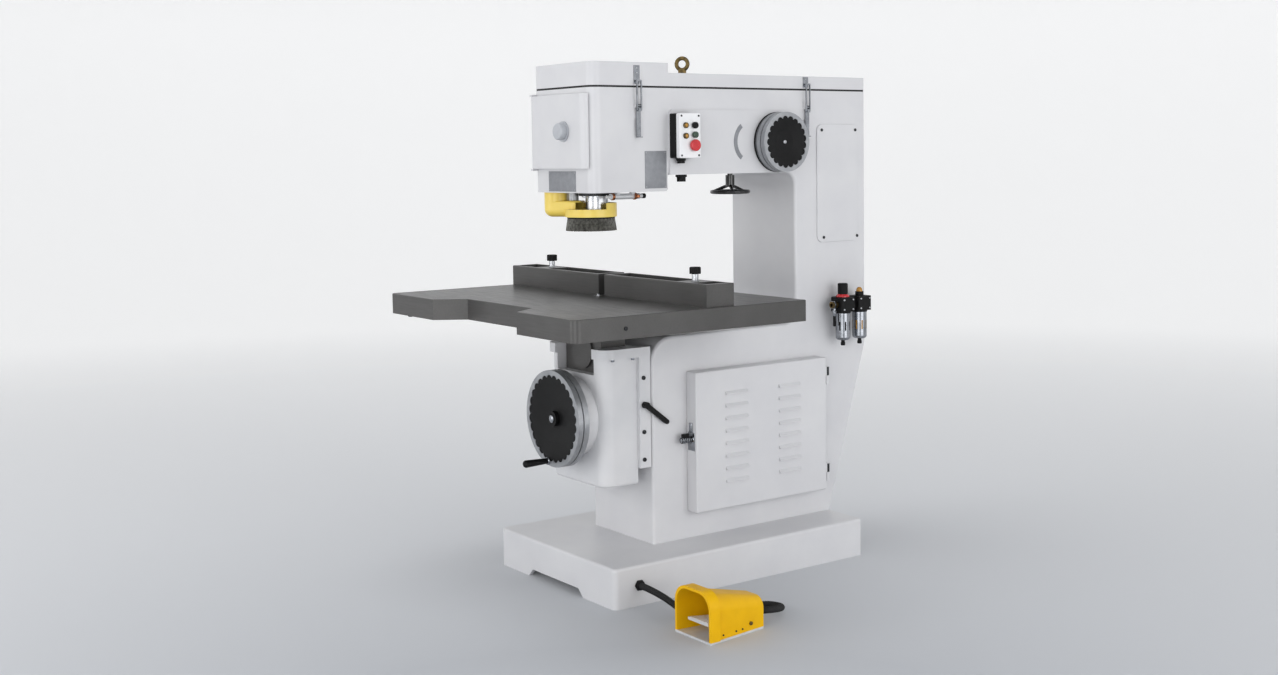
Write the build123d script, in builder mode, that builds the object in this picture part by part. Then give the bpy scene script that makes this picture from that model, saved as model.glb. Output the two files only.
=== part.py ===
import math
import os

from build123d import *

os.makedirs("parts", exist_ok=True)

# Overarm pin router, millimetres. +X is the operator's right, +Y the rear, +Z up.
# The origin is on the floor, under the middle of the base.

# Fits and clearances
running_fit = 0.05          # radial, shaft in its bore
slide_gap = 0.3             # between faces that slide or turn past each other
panel_gap = 1.0             # between a cover and the wall behind it

# Base
base_width = 650.0
base_length = 1000.0
base_height = 122.0
base_wall = 14.0
base_top = 16.0
base_corner = 18.0
base_edge = 9.0
base_notch_width = 310.0
base_notch_height = 24.0
foot_pad = 100.0
level_bolt_radius = 7.0
level_bolt_depth = 40.0
level_span_x = 530.0
level_span_y = 880.0

# Column, arm and head
body_width = 330.0
wall = 12.0
block_front = -240.0
block_top = 768.0
block_round = 80.0
rear_foot = 496.0
rear_break = 700.0
rear_face = 670.0
neck_front = 352.0
neck_round = 45.0
weld_offset = 7.0
arm_bottom = 1267.0
arm_floor = 18.0
head_front = -448.0
head_rear = -168.0
head_bottom = 1217.0
head_floor = 20.0
head_corner = 32.0
body_edge = 10.0
seam_height = 1533.0
motor_well = 1000.0
cabinet_floor = 18.0
pad_proud = 7.0
pad_front = -164.0
pad_rear = 346.0
pad_top = 1468.0
pad_round = 16.0
half_body = body_width / 2
inner_half = half_body - wall

# Lid
seal_height = 6.0
seal_width = 10.0
sheet = 3.0
lid_low = 41.0
lid_high = 71.0
lid_step = -162.0
lid_bottom = seam_height + seal_height
lid_hinge_x = -half_body - 6.0
lid_hinge_z = seam_height + seal_height / 2
lid_knuckle = 5.0
lid_knuckle_length = 60.0
lid_hinge_places = (-330.0, 110.0, 550.0)

# Toggle latches on the right of the lid
latch_places = (-282.0, 400.0)
latch_pivot_x = half_body + 9.0
latch_pivot_z = 1478.0
latch_width = 22.0
lever_length = 96.0
bail_offset_x = 5.0
bail_offset_z = -12.0
bail_wire = 2.0
bail_height = 88.0
keeper_nose = 10.7
latch_pin = 1.6

# Eye bolt
eye_y = 18.0
eye_height = 1645.0
eye_radius = 25.0
eye_wire = 6.5
eye_post = 22.0
eye_turn = 38.0

# Spindle and quill
spindle_y = -322.0
spindle_radius = 17.5
spindle_foot = 1163.0
spindle_top = 1570.0
spline_flats = 24.0
collet_radius = 22.0
collet_length = 40.0
bit_radius = 6.35
bit_depth = 34.0
quill_radius = 44.0
quill_nose = 35.5
quill_shoulder = 1205.0
quill_top = 1394.0
quill_wall = 8.0
quill_stroke = 80.0
bearing_height = 22.0
guide_radius = 50.0
guide_flange = 56.0
guide_top = 1290.0
yoke_height = 18.0
cylinder_y = -213.0
cylinder_radius = 26.0
cylinder_bore = 20.0
cylinder_top = 1530.0
rod_radius = 8.0
piston_height = 12.0
bridge_bottom = 1400.0
bridge_height = 20.0
journal_radius = 22.0

# Belt drive
belt_bottom = 1440.0
belt_width = 40.0
belt_thick = 3.0
belt_gap = 0.3
spindle_pulley_radius = 30.0
motor_pulley_radius = 80.0
pulley_flange = 4.0
pulley_lip = 6.0
motor_y = 510.0
motor_radius = 105.0
motor_length = 300.0
motor_shaft = 14.0
carriage_bottom = 1385.0
carriage_height = 15.0
carriage_front = 400.0
carriage_rear = 640.0
carriage_travel = 20.0
ledge_width = 25.0
ledge_height = 20.0

# Belt tension wheel on the right of the arm
tension_y = 268.0
tension_z = 1365.0
tension_radius = 96.0
tension_recess = 84.0
tension_depth = 51.0
tension_lobes = 21
tension_shaft = 15.0
pinion_pitch_radius = 20.0
pinion_teeth = 10
pinion_x = 100.0
pinion_width = 26.0
tooth_height = 7.0

# Carriage lock wheel under the arm
lock_y = 212.0
lock_radius = 60.0
lock_rim = 7.0
lock_rim_z = 1204.0
lock_hub = 15.0
lock_screw = 9.0

# Front cover of the head
cover_half = 150.0
cover_bottom = 1291.0
cover_top = 1515.0
cover_depth = 22.0
cover_round = 18.0
cover_pivot_x = -145.0
cover_pin = 3.0
cover_opening_half = 118.0
cover_opening_inset = 22.0
cover_knob_x = 45.0
cover_knob_z = 1403.0
cover_knob_radius = 25.0
cover_knob_flange = 31.0

# Side cover on the column
side_cover_front = 447.0
side_cover_rear = 631.0
side_cover_bottom = 1031.0
side_cover_top = 1423.0
side_cover_thick = 5.0
side_cover_round = 22.0

# Cabinet door with louvres
door_front = -106.0
door_rear = 442.0
door_bottom = 208.0
door_top = 652.0
door_depth = 49.0
door_edge = 5.0
door_margin = 26.0
door_hinge_offset = 8.0
door_hinge_depth = 44.0
hinge_knuckle = 6.0
hinge_length = 30.0
door_hinge_heights = (265.0, 590.0)
louvre_rows = 8
louvre_pitch = 40.0
louvre_length = 90.0
louvre_height = 15.0
louvre_rise = 7.0
louvre_slot = 6.0
louvre_columns = (56.0, 278.0)
louvre_low = 291.0
door_latch_z = 440.0
door_latch_x = 24.0

# Column way and knee
way_half = 115.0
way_flare = 18.0
way_depth = 36.0
way_bottom = 370.0
way_top = 688.0
lift_nut_z = 420.0
lift_nut_half = 30.0
lift_nut_height = 30.0
knee_half = 150.0
knee_front = -412.0
knee_bottom = 316.0
knee_corner = 40.0
saddle_half = 163.0
saddle_bottom = 367.0
saddle_front = -285.0
flange_bottom = 712.0
flange_height = 30.0
flange_half = 165.0
flange_front = -420.0
flange_corner = 44.0
window_half = 102.0
window_bottom = 661.0
knee_cavity_half = 90.0
knee_cavity_bottom = 330.0
knee_cavity_top = 575.0
knee_cavity_front = -388.0
knee_slot_half = 60.0
knee_up = 70.0
knee_down = 50.0

# Front hand wheel, lift shaft and screw
wheel_z = 524.0
wheel_radius = 150.0
wheel_recess = 136.0
wheel_front = -500.0
wheel_ring = 16.0
wheel_groove = 4.0
wheel_collar = 18.0
wheel_boss = 122.0
wheel_lobes = 28
lobe_depth = 8.0
recess_depth = 16.0
face_thick = 4.0
dish_inset = 2.0
hub_radius = 24.0
lift_shaft_radius = 14.0
bevel_radius = 34.0
bevel_face = 18.0
lift_y = -330.0
lift_screw_radius = 13.0
lift_screw_foot = 336.0
crank_radius = 138.0
crank_angle = 258.0
crank_length = 88.0
crank_tip = 12.0
crank_root = 8.5

# Knee clamp lever
clamp_y = -268.0
clamp_z = 563.0
clamp_radius = 10.0
clamp_length = 96.0
clamp_angle = -38.0

# Table
table_half = 545.0
table_front = -770.0
table_rear = 55.0
table_top = 893.0
table_thick = 64.0
table_corner = 22.0
table_rib = 22.0
table_plate = 22.0
notch_mouth = 500.0
notch_floor = 376.0
notch_depth = 88.0
pedestal_half = 98.0
pedestal_front = -381.0
pedestal_rear = -292.0
pedestal_bottom = 640.0
pedestal_boss = 55.0
pedestal_boss_z = 725.0
pedestal_boss_proud = 7.0
pin_radius = 5.0
pin_proud = 6.0
pin_length = 70.0
pin_lift = 12.0

# Fence in two halves
fence_front = -308.0
fence_depth = 100.0
fence_height = 66.0
fence_ends = ((-540.0, -18.0), (14.0, 530.0))
fence_knob_places = (-368.0, 413.0)
fence_wall = 12.0
fence_knob_radius = 17.0
fence_knob_height = 20.0
fence_knob_stand = 22.0
fence_stud = 6.0

# Dust hood and brush skirt
hood_x = -12.0
hood_y = -336.0
hood_radius = 81.0
hood_wall = 5.0
hood_bottom = 1140.0
hood_lip = 24.0
hood_roof = 50.0
hood_arm_x = -112.0
hood_arm_y = -400.0
hood_arm_radius = 37.0
hood_throat = 49.0
hood_elbow = 24.0
brush_top = 1141.0
brush_backing = 5.0
brush_outer = 75.0
brush_inner = 63.0
brush_length = 40.0
brush_flare = 6.0
bristle = 1.6
bristle_rows = (65.5, 69.0, 72.5)
bristle_counts = (112, 120, 128)

# Spindle lock cylinder under the head
spindle_lock_x = 92.0
spindle_lock_y = -334.0
spindle_lock_radius = 9.0
spindle_lock_length = 108.0
spindle_lock_drop = 14.0

# Control box on the arm
box_front = -164.0
box_width = 82.0
box_bottom = 1318.0
box_height = 137.0
box_depth = 34.0
box_lid = 16.0
button_column = 55.0
button_high = 100.0
button_mid = 71.0
button_low = 39.0
button_radius = 10.0
stop_radius = 18.0
button_travel = 4.0
button_proud = 9.0

# Air service unit at the rear of the column
air_front = 516.0
air_pitch = 76.0
air_x = 216.0
air_body_bottom = 800.0
air_body_height = 48.0
air_body_half = 29.0
bowl_radius = 24.5
bowl_height = 96.0
bowl_slot = 5.0
bowl_slot_height = 30.0
bowl_slots = 8
regulator_radius = 17.0
regulator_height = 46.0
air_port_radius = 6.6
air_port_depth = 14.0

# Foot pedal
pedal_x = 659.0
pedal_front = -471.0
pedal_length = 211.0
pedal_front_half = 76.0
pedal_front_height = 136.0
pedal_rear_half = 52.0
pedal_rear_height = 90.0
pedal_wall = 3.5
pedal_collar = 34.0
pedal_collar_proud = 4.0
pedal_plate = 6.0
treadle_half = 52.0
treadle_length = 140.0
treadle_pin_y = -312.0
treadle_pin_z = 26.0
treadle_pin = 4.0
treadle_swing = 7.0

# Air hose from the base to the pedal
hose_radius = 10.0
hose_bore = 6.5
hose_rib = 1.6
hose_pitch = 6.0
hose_exit_y = -411.0
hose_exit_z = 62.0
hose_port_x = 684.0
hose_port_z = 44.0


def block(x0, x1, y0, y1, z0, z1, mode=Mode.ADD):
    with Locations(((x0 + x1) / 2, (y0 + y1) / 2, (z0 + z1) / 2)):
        Box(x1 - x0, y1 - y0, z1 - z0, mode=mode)


def post(x, y, z0, z1, radius, mode=Mode.ADD):
    with Locations((x, y, (z0 + z1) / 2)):
        Cylinder(radius, z1 - z0, mode=mode)


def bar_x(x0, x1, y, z, radius, mode=Mode.ADD):
    with Locations(((x0 + x1) / 2, y, z)):
        Cylinder(radius, x1 - x0, rotation=(0, 90, 0), mode=mode)


def bar_y(y0, y1, x, z, radius, mode=Mode.ADD):
    with Locations((x, (y0 + y1) / 2, z)):
        Cylinder(radius, y1 - y0, rotation=(90, 0, 0), mode=mode)


def polar(radius, angle):
    return (radius * math.cos(math.radians(angle)), radius * math.sin(math.radians(angle)))


def lobe_arc(across, up, radius, lobes, lobe):
    # Three points of one finger hollow in the rim of a dished hand wheel.
    places = []
    for share, reach in ((0, radius - lobe_depth), (0.5, radius), (1, radius - lobe_depth)):
        point = polar(reach, (lobe + share) * 360 / lobes)
        places.append((across + point[0], up + point[1]))
    return places


# Base slab: a hollow casting on four corner pads, with a low arch front and rear
half_base_x = base_width / 2
half_base_y = base_length / 2
with BuildPart() as base:
    block(-half_base_x, half_base_x, -half_base_y, half_base_y, 0, base_height)
    fillet(base.edges().filter_by(Axis.Z), base_corner)
    fillet(base.faces().sort_by(Axis.Z)[-1].edges(), base_edge)
    block(
        -half_base_x + base_wall, half_base_x - base_wall,
        -half_base_y + base_wall, half_base_y - base_wall,
        0, base_height - base_top, mode=Mode.SUBTRACT,
    )
    for side_x in (-1, 1):
        for side_y in (-1, 1):
            block(
                side_x * (half_base_x - base_wall) - foot_pad * (side_x > 0),
                side_x * (half_base_x - base_wall) + foot_pad * (side_x < 0),
                side_y * (half_base_y - base_wall) - foot_pad * (side_y > 0),
                side_y * (half_base_y - base_wall) + foot_pad * (side_y < 0),
                0, base_height - base_top,
            )
    with BuildSketch(Plane.XZ.offset(-half_base_y - 1)):
        with BuildLine():
            Polyline(
                (-base_notch_width / 2, 0),
                (-base_notch_width / 2 + base_notch_height, base_notch_height),
                (base_notch_width / 2 - base_notch_height, base_notch_height),
                (base_notch_width / 2, 0),
                close=True,
            )
        make_face()
    extrude(amount=base_length + 2, mode=Mode.SUBTRACT)
    with GridLocations(level_span_x, level_span_y, 2, 2):
        with Locations((0, 0, level_bolt_depth / 2)):
            Cylinder(level_bolt_radius, level_bolt_depth, mode=Mode.SUBTRACT)
    bar_x(
        half_base_x - base_wall - 1, half_base_x + 1, hose_exit_y, hose_exit_z,
        hose_radius + slide_gap, mode=Mode.SUBTRACT,
    )
base.part.label = "base"
export_step(base.part, "parts/base.step")

# C-shaped frame: a hollow weldment of cabinet block, neck, and overarm with the head
door_wall_x = half_body
pad_face = half_body + pad_proud
with BuildPart() as column_frame:
    with BuildSketch(Plane.YZ.offset(-half_body)) as frame_side:
        with BuildLine():
            Polyline(
                (block_front, base_height), (rear_foot, base_height), (rear_face, rear_break),
                (rear_face, seam_height), (head_front, seam_height), (head_front, head_bottom),
                (head_rear, head_bottom), (head_rear, arm_bottom), (neck_front, arm_bottom),
                (neck_front, block_top), (block_front, block_top), close=True,
            )
        make_face()
        fillet(frame_side.vertices().sort_by_distance((block_front, block_top))[0], block_round)
        fillet(frame_side.vertices().sort_by_distance((neck_front, arm_bottom))[0], neck_round)
        fillet(frame_side.vertices().sort_by_distance((neck_front, block_top))[0], neck_round)
        fillet(frame_side.vertices().sort_by_distance((head_rear, head_bottom))[0], body_edge)
    extrude(amount=body_width)
    upright = column_frame.edges().filter_by(Axis.Z)
    fillet(upright.filter_by_position(Axis.Y, head_front - 1, head_front + 1), head_corner)
    upright = column_frame.edges().filter_by(Axis.Z)
    fillet(
        upright.filter_by_position(Axis.Y, block_front - 1, block_front + 1)
        + upright.filter_by_position(Axis.Y, neck_front - 1, neck_front + 1)
        + upright.filter_by_position(Axis.Y, rear_face - 1, rear_face + 1),
        body_edge,
    )
    # Trough for the drive, open at the top, with a well for the motor in the neck
    with BuildSketch(Plane.YZ.offset(-inner_half)) as trough_side:
        with BuildLine():
            Polyline(
                (head_front + wall, head_bottom + head_floor),
                (head_rear - wall, head_bottom + head_floor),
                (head_rear - wall, arm_bottom + arm_floor),
                (neck_front + wall, arm_bottom + arm_floor),
                (neck_front + wall, motor_well),
                (rear_face - wall, motor_well),
                (rear_face - wall, seam_height + 1),
                (head_front + wall, seam_height + 1),
                close=True,
            )
        make_face()
    extrude(amount=2 * inner_half, mode=Mode.SUBTRACT)
    # Cabinet behind the louvred door
    rear_lean = (rear_face - rear_foot) / (rear_break - base_height)
    rear_wall = wall * math.sqrt(1 + rear_lean ** 2)
    cabinet_bottom = base_height + cabinet_floor
    with BuildSketch(Plane.YZ.offset(-inner_half)) as cabinet_side:
        with BuildLine():
            Polyline(
                (block_front + wall, cabinet_bottom),
                (rear_foot + rear_lean * cabinet_floor - rear_wall, cabinet_bottom),
                (rear_face - rear_wall, rear_break),
                (rear_face - rear_wall, block_top - wall),
                (block_front + wall, block_top - wall),
                close=True,
            )
        make_face()
        fillet(
            cabinet_side.vertices().sort_by_distance((block_front + wall, block_top - wall))[0],
            block_round - wall,
        )
    extrude(amount=2 * inner_half, mode=Mode.SUBTRACT)
    block(
        inner_half - 1, half_body + 1,
        door_front + door_margin, door_rear - door_margin,
        door_bottom + door_margin, door_top - door_margin, mode=Mode.SUBTRACT,
    )
    # Raised pad on the right of the arm
    with BuildSketch(Plane.YZ.offset(half_body)) as pad_outline:
        with Locations(((pad_front + pad_rear) / 2, (arm_bottom + pad_top) / 2)):
            Rectangle(pad_rear - pad_front, pad_top - arm_bottom)
        fillet(pad_outline.vertices().group_by(Axis.Y)[-1], pad_round)
    extrude(amount=pad_proud)
    # Openings behind the front cover and the side cover
    block(
        -cover_opening_half, cover_opening_half, head_front - 1, head_front + wall + 1,
        cover_bottom + cover_opening_inset, cover_top - cover_opening_inset, mode=Mode.SUBTRACT,
    )
    block(
        inner_half - 1, half_body + 1,
        side_cover_front + side_cover_round, side_cover_rear - side_cover_round,
        side_cover_bottom + side_cover_round, side_cover_top - side_cover_round, mode=Mode.SUBTRACT,
    )
    # Bores for the quill guide, tension shaft, lock screw and lifting eye
    post(
        0, spindle_y, head_bottom - 1, head_bottom + head_floor + 1, guide_radius + slide_gap,
        mode=Mode.SUBTRACT,
    )
    bar_x(
        inner_half - 1, pad_face + 1, tension_y, tension_z, tension_shaft + running_fit,
        mode=Mode.SUBTRACT,
    )
    post(
        0, lock_y, arm_bottom - 1, arm_bottom + arm_floor + 1, lock_screw + running_fit,
        mode=Mode.SUBTRACT,
    )
    # Ledges that the motor carriage slides on
    for side in (-1, 1):
        block(
            min(side * inner_half, side * (inner_half - ledge_width)),
            max(side * inner_half, side * (inner_half - ledge_width)),
            neck_front + wall, rear_face - wall,
            carriage_bottom - ledge_height, carriage_bottom,
        )
    # Pivot ears above and below the front cover
    cover_pivot_y = head_front - cover_depth / 2
    for ear_z, pin_z in ((cover_bottom, 1), (cover_top, -1)):
        ear_low = ear_z - slide_gap - 6 if pin_z > 0 else ear_z + slide_gap
        block(
            cover_pivot_x - 7, cover_pivot_x + 7, head_front - cover_depth + 3, head_front + wall,
            ear_low, ear_low + 6,
        )
        pin_end = ear_z + 10 * pin_z
        post(cover_pivot_x, cover_pivot_y, min(ear_low, pin_end), max(ear_low, pin_end), cover_pin)
    # Fixed hinge brackets of the cabinet door, with their pins
    hinge_x = half_body + door_hinge_depth
    hinge_y = door_rear + door_hinge_offset
    for height in door_hinge_heights:
        post(hinge_x, hinge_y, height - hinge_length, height - slide_gap, hinge_knuckle)
        post(hinge_x, hinge_y, height - hinge_length, height + hinge_length, hinge_knuckle / 2)
        block(
            half_body, hinge_x, hinge_y + hinge_knuckle - 4, hinge_y + hinge_knuckle,
            height - hinge_length, height - slide_gap,
        )
    # Fixed knuckles of the lid hinges, on the left
    for place in lid_hinge_places:
        block(
            -half_body - 3, -half_body, place - lid_knuckle_length, place - slide_gap,
            seam_height - 30, seam_height - 6,
        )
        bar_y(place - lid_knuckle_length, place - slide_gap, lid_hinge_x, lid_hinge_z, lid_knuckle)
        block(
            lid_hinge_x - 2, -half_body, place - lid_knuckle_length, place - slide_gap,
            seam_height - 12, seam_height - 1,
        )
        bar_y(
            place - lid_knuckle_length, place + lid_knuckle_length, lid_hinge_x, lid_hinge_z,
            lid_knuckle / 2,
        )
    # Latch plates with the lever pivot pins
    for place in latch_places:
        block(
            half_body, half_body + 3, place - latch_width / 2, place + latch_width / 2,
            latch_pivot_z - 40, latch_pivot_z + 20,
        )
        for side in (-1, 1):
            ear = place + side * (latch_width / 2 - 1.5)
            block(
                half_body, latch_pivot_x + latch_pin, ear - 1.5, ear + 1.5,
                latch_pivot_z - 6, latch_pivot_z + 6,
            )
        bar_y(place - latch_width / 2, place + latch_width / 2, latch_pivot_x, latch_pivot_z, latch_pin)
    # The two weld seams run round the neck, clear of its rounds and of the head
    low_seam = block_top + neck_round + weld_offset
    high_seam = min(arm_bottom - neck_round, head_bottom) - weld_offset
    for seam in (low_seam, high_seam):
        split(bisect_by=Plane.XY.offset(seam), keep=Keep.BOTH)
column_frame.part.label = "column_frame"
export_step(column_frame.part, "parts/column_frame.step")

# Dovetail way on the front of the column, with the fixed lift nut on it
way_front = block_front - way_depth
with BuildPart() as column_way:
    with BuildSketch(Plane.XY.offset(way_bottom)):
        with BuildLine():
            Polyline(
                (-way_half, way_front), (way_half, way_front),
                (way_half - way_flare, block_front), (-way_half + way_flare, block_front), close=True,
            )
        make_face()
    extrude(amount=way_top - way_bottom)
    block(
        -lift_nut_half, lift_nut_half, lift_y - lift_nut_half, way_front,
        lift_nut_z - lift_nut_height / 2, lift_nut_z + lift_nut_height / 2,
    )
    post(
        0, lift_y, lift_nut_z - lift_nut_height, lift_nut_z + lift_nut_height,
        lift_screw_radius + running_fit, mode=Mode.SUBTRACT,
    )
column_way.part.label = "column_way"
export_step(column_way.part, "parts/column_way.step")

# Side cover over the motor hatch
with BuildPart() as side_cover:
    with BuildSketch(Plane.YZ.offset(half_body)) as cover_outline:
        with Locations((
            (side_cover_front + side_cover_rear) / 2, (side_cover_bottom + side_cover_top) / 2,
        )):
            RectangleRounded(
                side_cover_rear - side_cover_front, side_cover_top - side_cover_bottom, side_cover_round,
            )
    extrude(amount=side_cover_thick)
    fillet(side_cover.faces().sort_by(Axis.X)[-1].edges(), side_cover_thick / 3)
side_cover.part.label = "side_cover"
export_step(side_cover.part, "parts/side_cover.step")

# Rubber seal that the lid closes on
with BuildPart() as lid_seal:
    with BuildSketch(Plane.XY.offset(seam_height)) as seal_outline:
        with Locations((0, (head_front + rear_face) / 2)):
            Rectangle(body_width - 2, rear_face - head_front - 2)
        fillet(seal_outline.vertices().group_by(Axis.Y)[0], head_corner)
        fillet(seal_outline.vertices().group_by(Axis.Y)[-1], body_edge)
        offset(amount=-seal_width, mode=Mode.SUBTRACT)
    extrude(amount=seal_height)
lid_seal.part.label = "lid_seal"
export_step(lid_seal.part, "parts/lid_seal.step")

# Lid: sheet cover with a raised front over the spindle
lid_low_top = lid_bottom + lid_low
lid_high_top = lid_bottom + lid_high
lid_reach = abs(lid_hinge_x) + eye_radius + eye_wire
lid_slot_right = math.sqrt(lid_reach ** 2 + (eye_height - lid_hinge_z) ** 2) + lid_hinge_x + eye_wire
lid_slot_left = -eye_radius - eye_wire
with BuildPart() as lid_hollow:
    with BuildSketch(Plane.YZ.offset(-half_body + sheet)):
        with BuildLine():
            Polyline(
                (head_front + sheet, lid_bottom - 1), (rear_face - sheet, lid_bottom - 1),
                (rear_face - sheet, lid_low_top - sheet), (lid_step - sheet, lid_low_top - sheet),
                (lid_step - sheet, lid_high_top - sheet), (head_front + sheet, lid_high_top - sheet),
                close=True,
            )
        make_face()
    extrude(amount=body_width - 2 * sheet)
    fillet(
        lid_hollow.edges().filter_by(Axis.Z).filter_by_position(
            Axis.Y, head_front + sheet - 1, head_front + sheet + 1,
        ),
        head_corner - sheet,
    )
    fillet(
        lid_hollow.edges().filter_by(Axis.Z).filter_by_position(
            Axis.Y, rear_face - sheet - 1, rear_face - sheet + 1,
        ),
        body_edge - sheet,
    )

with BuildPart() as lid:
    with BuildSketch(Plane.YZ.offset(-half_body)):
        with BuildLine():
            Polyline(
                (head_front, lid_bottom), (rear_face, lid_bottom), (rear_face, lid_low_top),
                (lid_step, lid_low_top), (lid_step, lid_high_top), (head_front, lid_high_top), close=True,
            )
        make_face()
    extrude(amount=body_width)
    fillet(
        lid.edges().filter_by(Axis.Z).filter_by_position(Axis.Y, head_front - 1, head_front + 1),
        head_corner,
    )
    fillet(
        lid.edges().filter_by(Axis.Z).filter_by_position(Axis.Y, rear_face - 1, rear_face + 1),
        body_edge,
    )
    add(lid_hollow.part, mode=Mode.SUBTRACT)
    with BuildSketch(Plane.XY.offset(lid_low_top - sheet - 1)):
        with Locations(((lid_slot_left + lid_slot_right) / 2, eye_y)):
            RectangleRounded(lid_slot_right - lid_slot_left, 2 * (eye_radius + eye_wire), 12)
    extrude(amount=sheet + 2, mode=Mode.SUBTRACT)
    for place in lid_hinge_places:
        bar_y(place + slide_gap, place + lid_knuckle_length, lid_hinge_x, lid_hinge_z, lid_knuckle)
        block(
            lid_hinge_x - 2, -half_body, place + slide_gap, place + lid_knuckle_length,
            lid_bottom + 1, lid_bottom + 12,
        )
        bar_y(
            place, place + lid_knuckle_length + 1, lid_hinge_x, lid_hinge_z,
            lid_knuckle / 2 + running_fit, mode=Mode.SUBTRACT,
        )
lid.part.label = "lid"
export_step(lid.part, "parts/lid.step")

# Keeper plates of the latches, on the lid
bail_pivot_x = latch_pivot_x + bail_offset_x
bail_pivot_z = latch_pivot_z + bail_offset_z
bail_bar_z = bail_pivot_z + bail_height
with BuildPart() as latch_keepers:
    for place, top in zip(latch_places, (lid_high_top - 10, lid_low_top - 3)):
        block(
            half_body, half_body + 2, place - latch_width / 2, place + latch_width / 2,
            lid_bottom + 4, top,
        )
        with BuildSketch(Plane.XZ.offset(-place - 6)):
            with BuildLine():
                Polyline(
                    (half_body, lid_bottom + 4), (half_body + keeper_nose, bail_bar_z - 3),
                    (half_body + keeper_nose, bail_bar_z + 1), (half_body, lid_bottom + 9), close=True,
                )
            make_face()
        extrude(amount=12)
latch_keepers.part.label = "latch_keepers"
export_step(latch_keepers.part, "parts/latch_keepers.step")

# Latch levers and wire bails
for place, where in zip(latch_places, ("front", "rear")):
    lever_half = latch_width / 2 - 3 - slide_gap
    with BuildPart() as latch_lever:
        block(
            latch_pivot_x - 3, latch_pivot_x + 1, place - lever_half, place + lever_half,
            latch_pivot_z - lever_length, latch_pivot_z + 4,
        )
        block(
            latch_pivot_x - 3, latch_pivot_x + 9, place - lever_half, place + lever_half,
            latch_pivot_z - lever_length, latch_pivot_z - lever_length + 3,
        )
        block(
            latch_pivot_x - 3, bail_pivot_x + 4, place - lever_half + 2.5, place + lever_half - 2.5,
            bail_pivot_z - 5, bail_pivot_z + 5,
        )
        bar_y(place - lever_half + 2.5, place + lever_half - 2.5, latch_pivot_x, latch_pivot_z, 5)
        bar_y(
            place - latch_width, place + latch_width, latch_pivot_x, latch_pivot_z,
            latch_pin + running_fit, mode=Mode.SUBTRACT,
        )
        bar_y(
            place - latch_width, place + latch_width, bail_pivot_x - 1, bail_pivot_z,
            bail_wire * math.sqrt(2) + running_fit, mode=Mode.SUBTRACT,
        )
    latch_lever.part.label = f"{where}_latch_lever"
    export_step(latch_lever.part, f"parts/{where}_latch_lever.step")

    bail_leg = lever_half
    with BuildPart() as latch_bail:
        with BuildSketch(Plane.YZ.offset(bail_pivot_x - 1 - bail_wire)):
            with Locations((place, (bail_pivot_z + bail_bar_z) / 2)):
                RectangleRounded(2 * (bail_leg + bail_wire), bail_height + 2 * bail_wire, bail_wire * 2)
                Rectangle(2 * (bail_leg - bail_wire), bail_height - 2 * bail_wire, mode=Mode.SUBTRACT)
        extrude(amount=2 * bail_wire)
    latch_bail.part.label = f"{where}_latch_bail"
    export_step(latch_bail.part, f"parts/{where}_latch_bail.step")

# Lifting eye: a post on the arm floor between the belt runs, ring above the lid
eye_centre = eye_height - eye_radius
with BuildPart() as eye_bolt:
    post(0, eye_y, arm_bottom + arm_floor, lid_bottom, eye_post)
    post(0, eye_y, lid_bottom, eye_centre - eye_radius + eye_wire, eye_post * 0.6)
    with Locations(Location((0, eye_y, eye_centre), (0, 0, eye_turn))):
        Torus(eye_radius - eye_wire, eye_wire, rotation=(90, 0, 0))
eye_bolt.part.label = "eye_bolt"
export_step(eye_bolt.part, "parts/eye_bolt.step")

# Quill guide: flanged sleeve in the floor of the head
with BuildPart() as quill_guide:
    post(0, spindle_y, head_bottom, guide_top, guide_radius)
    post(0, spindle_y, quill_shoulder, head_bottom, guide_flange)
    post(0, spindle_y, quill_shoulder - 1, guide_top + 1, quill_radius + running_fit, mode=Mode.SUBTRACT)
quill_guide.part.label = "quill_guide"
export_step(quill_guide.part, "parts/quill_guide.step")

# Quill with its nose, yoke, piston rod and piston
quill_bore = spindle_radius + 2
race_radius = quill_nose - 5
yoke_top = quill_top - 2
piston_bottom = bridge_bottom + bridge_height + 8 + quill_stroke
with BuildPart() as quill:
    post(0, spindle_y, quill_shoulder, quill_top, quill_radius)
    post(0, spindle_y, spindle_foot, quill_shoulder, quill_nose)
    block(-16, 16, spindle_y, cylinder_y, yoke_top - yoke_height, yoke_top)
    post(0, cylinder_y, yoke_top - yoke_height, yoke_top, 16)
    post(0, cylinder_y, yoke_top - yoke_height, piston_bottom + piston_height, rod_radius)
    post(0, cylinder_y, piston_bottom, piston_bottom + piston_height, cylinder_bore - slide_gap)
    post(0, spindle_y, spindle_foot - 1, quill_top + 1, quill_bore, mode=Mode.SUBTRACT)
    post(0, spindle_y, spindle_foot - 1, spindle_foot + bearing_height, race_radius, mode=Mode.SUBTRACT)
    post(0, spindle_y, quill_top - bearing_height, quill_top + 1, race_radius, mode=Mode.SUBTRACT)
quill.part.label = "quill"
export_step(quill.part, "parts/quill.step")

# Bearings at the two ends of the quill
with BuildPart() as spindle_bearings:
    for low in (spindle_foot, quill_top - bearing_height):
        post(0, spindle_y, low, low + bearing_height, race_radius - slide_gap)
        post(0, spindle_y, low, low + bearing_height, spindle_radius + running_fit, mode=Mode.SUBTRACT)
spindle_bearings.part.label = "spindle_bearings"
export_step(spindle_bearings.part, "parts/spindle_bearings.step")

# Spindle with its hexagonal drive end
collet_foot = spindle_foot - collet_length
with BuildPart() as spindle:
    post(0, spindle_y, spindle_foot - 1, quill_top, spindle_radius)
    with BuildSketch(Plane.XY.offset(quill_top)):
        with Locations((0, spindle_y)):
            RegularPolygon(spline_flats / 2, 6, major_radius=False)
    extrude(amount=spindle_top - quill_top)
spindle.part.label = "spindle"
export_step(spindle.part, "parts/spindle.step")

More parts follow.
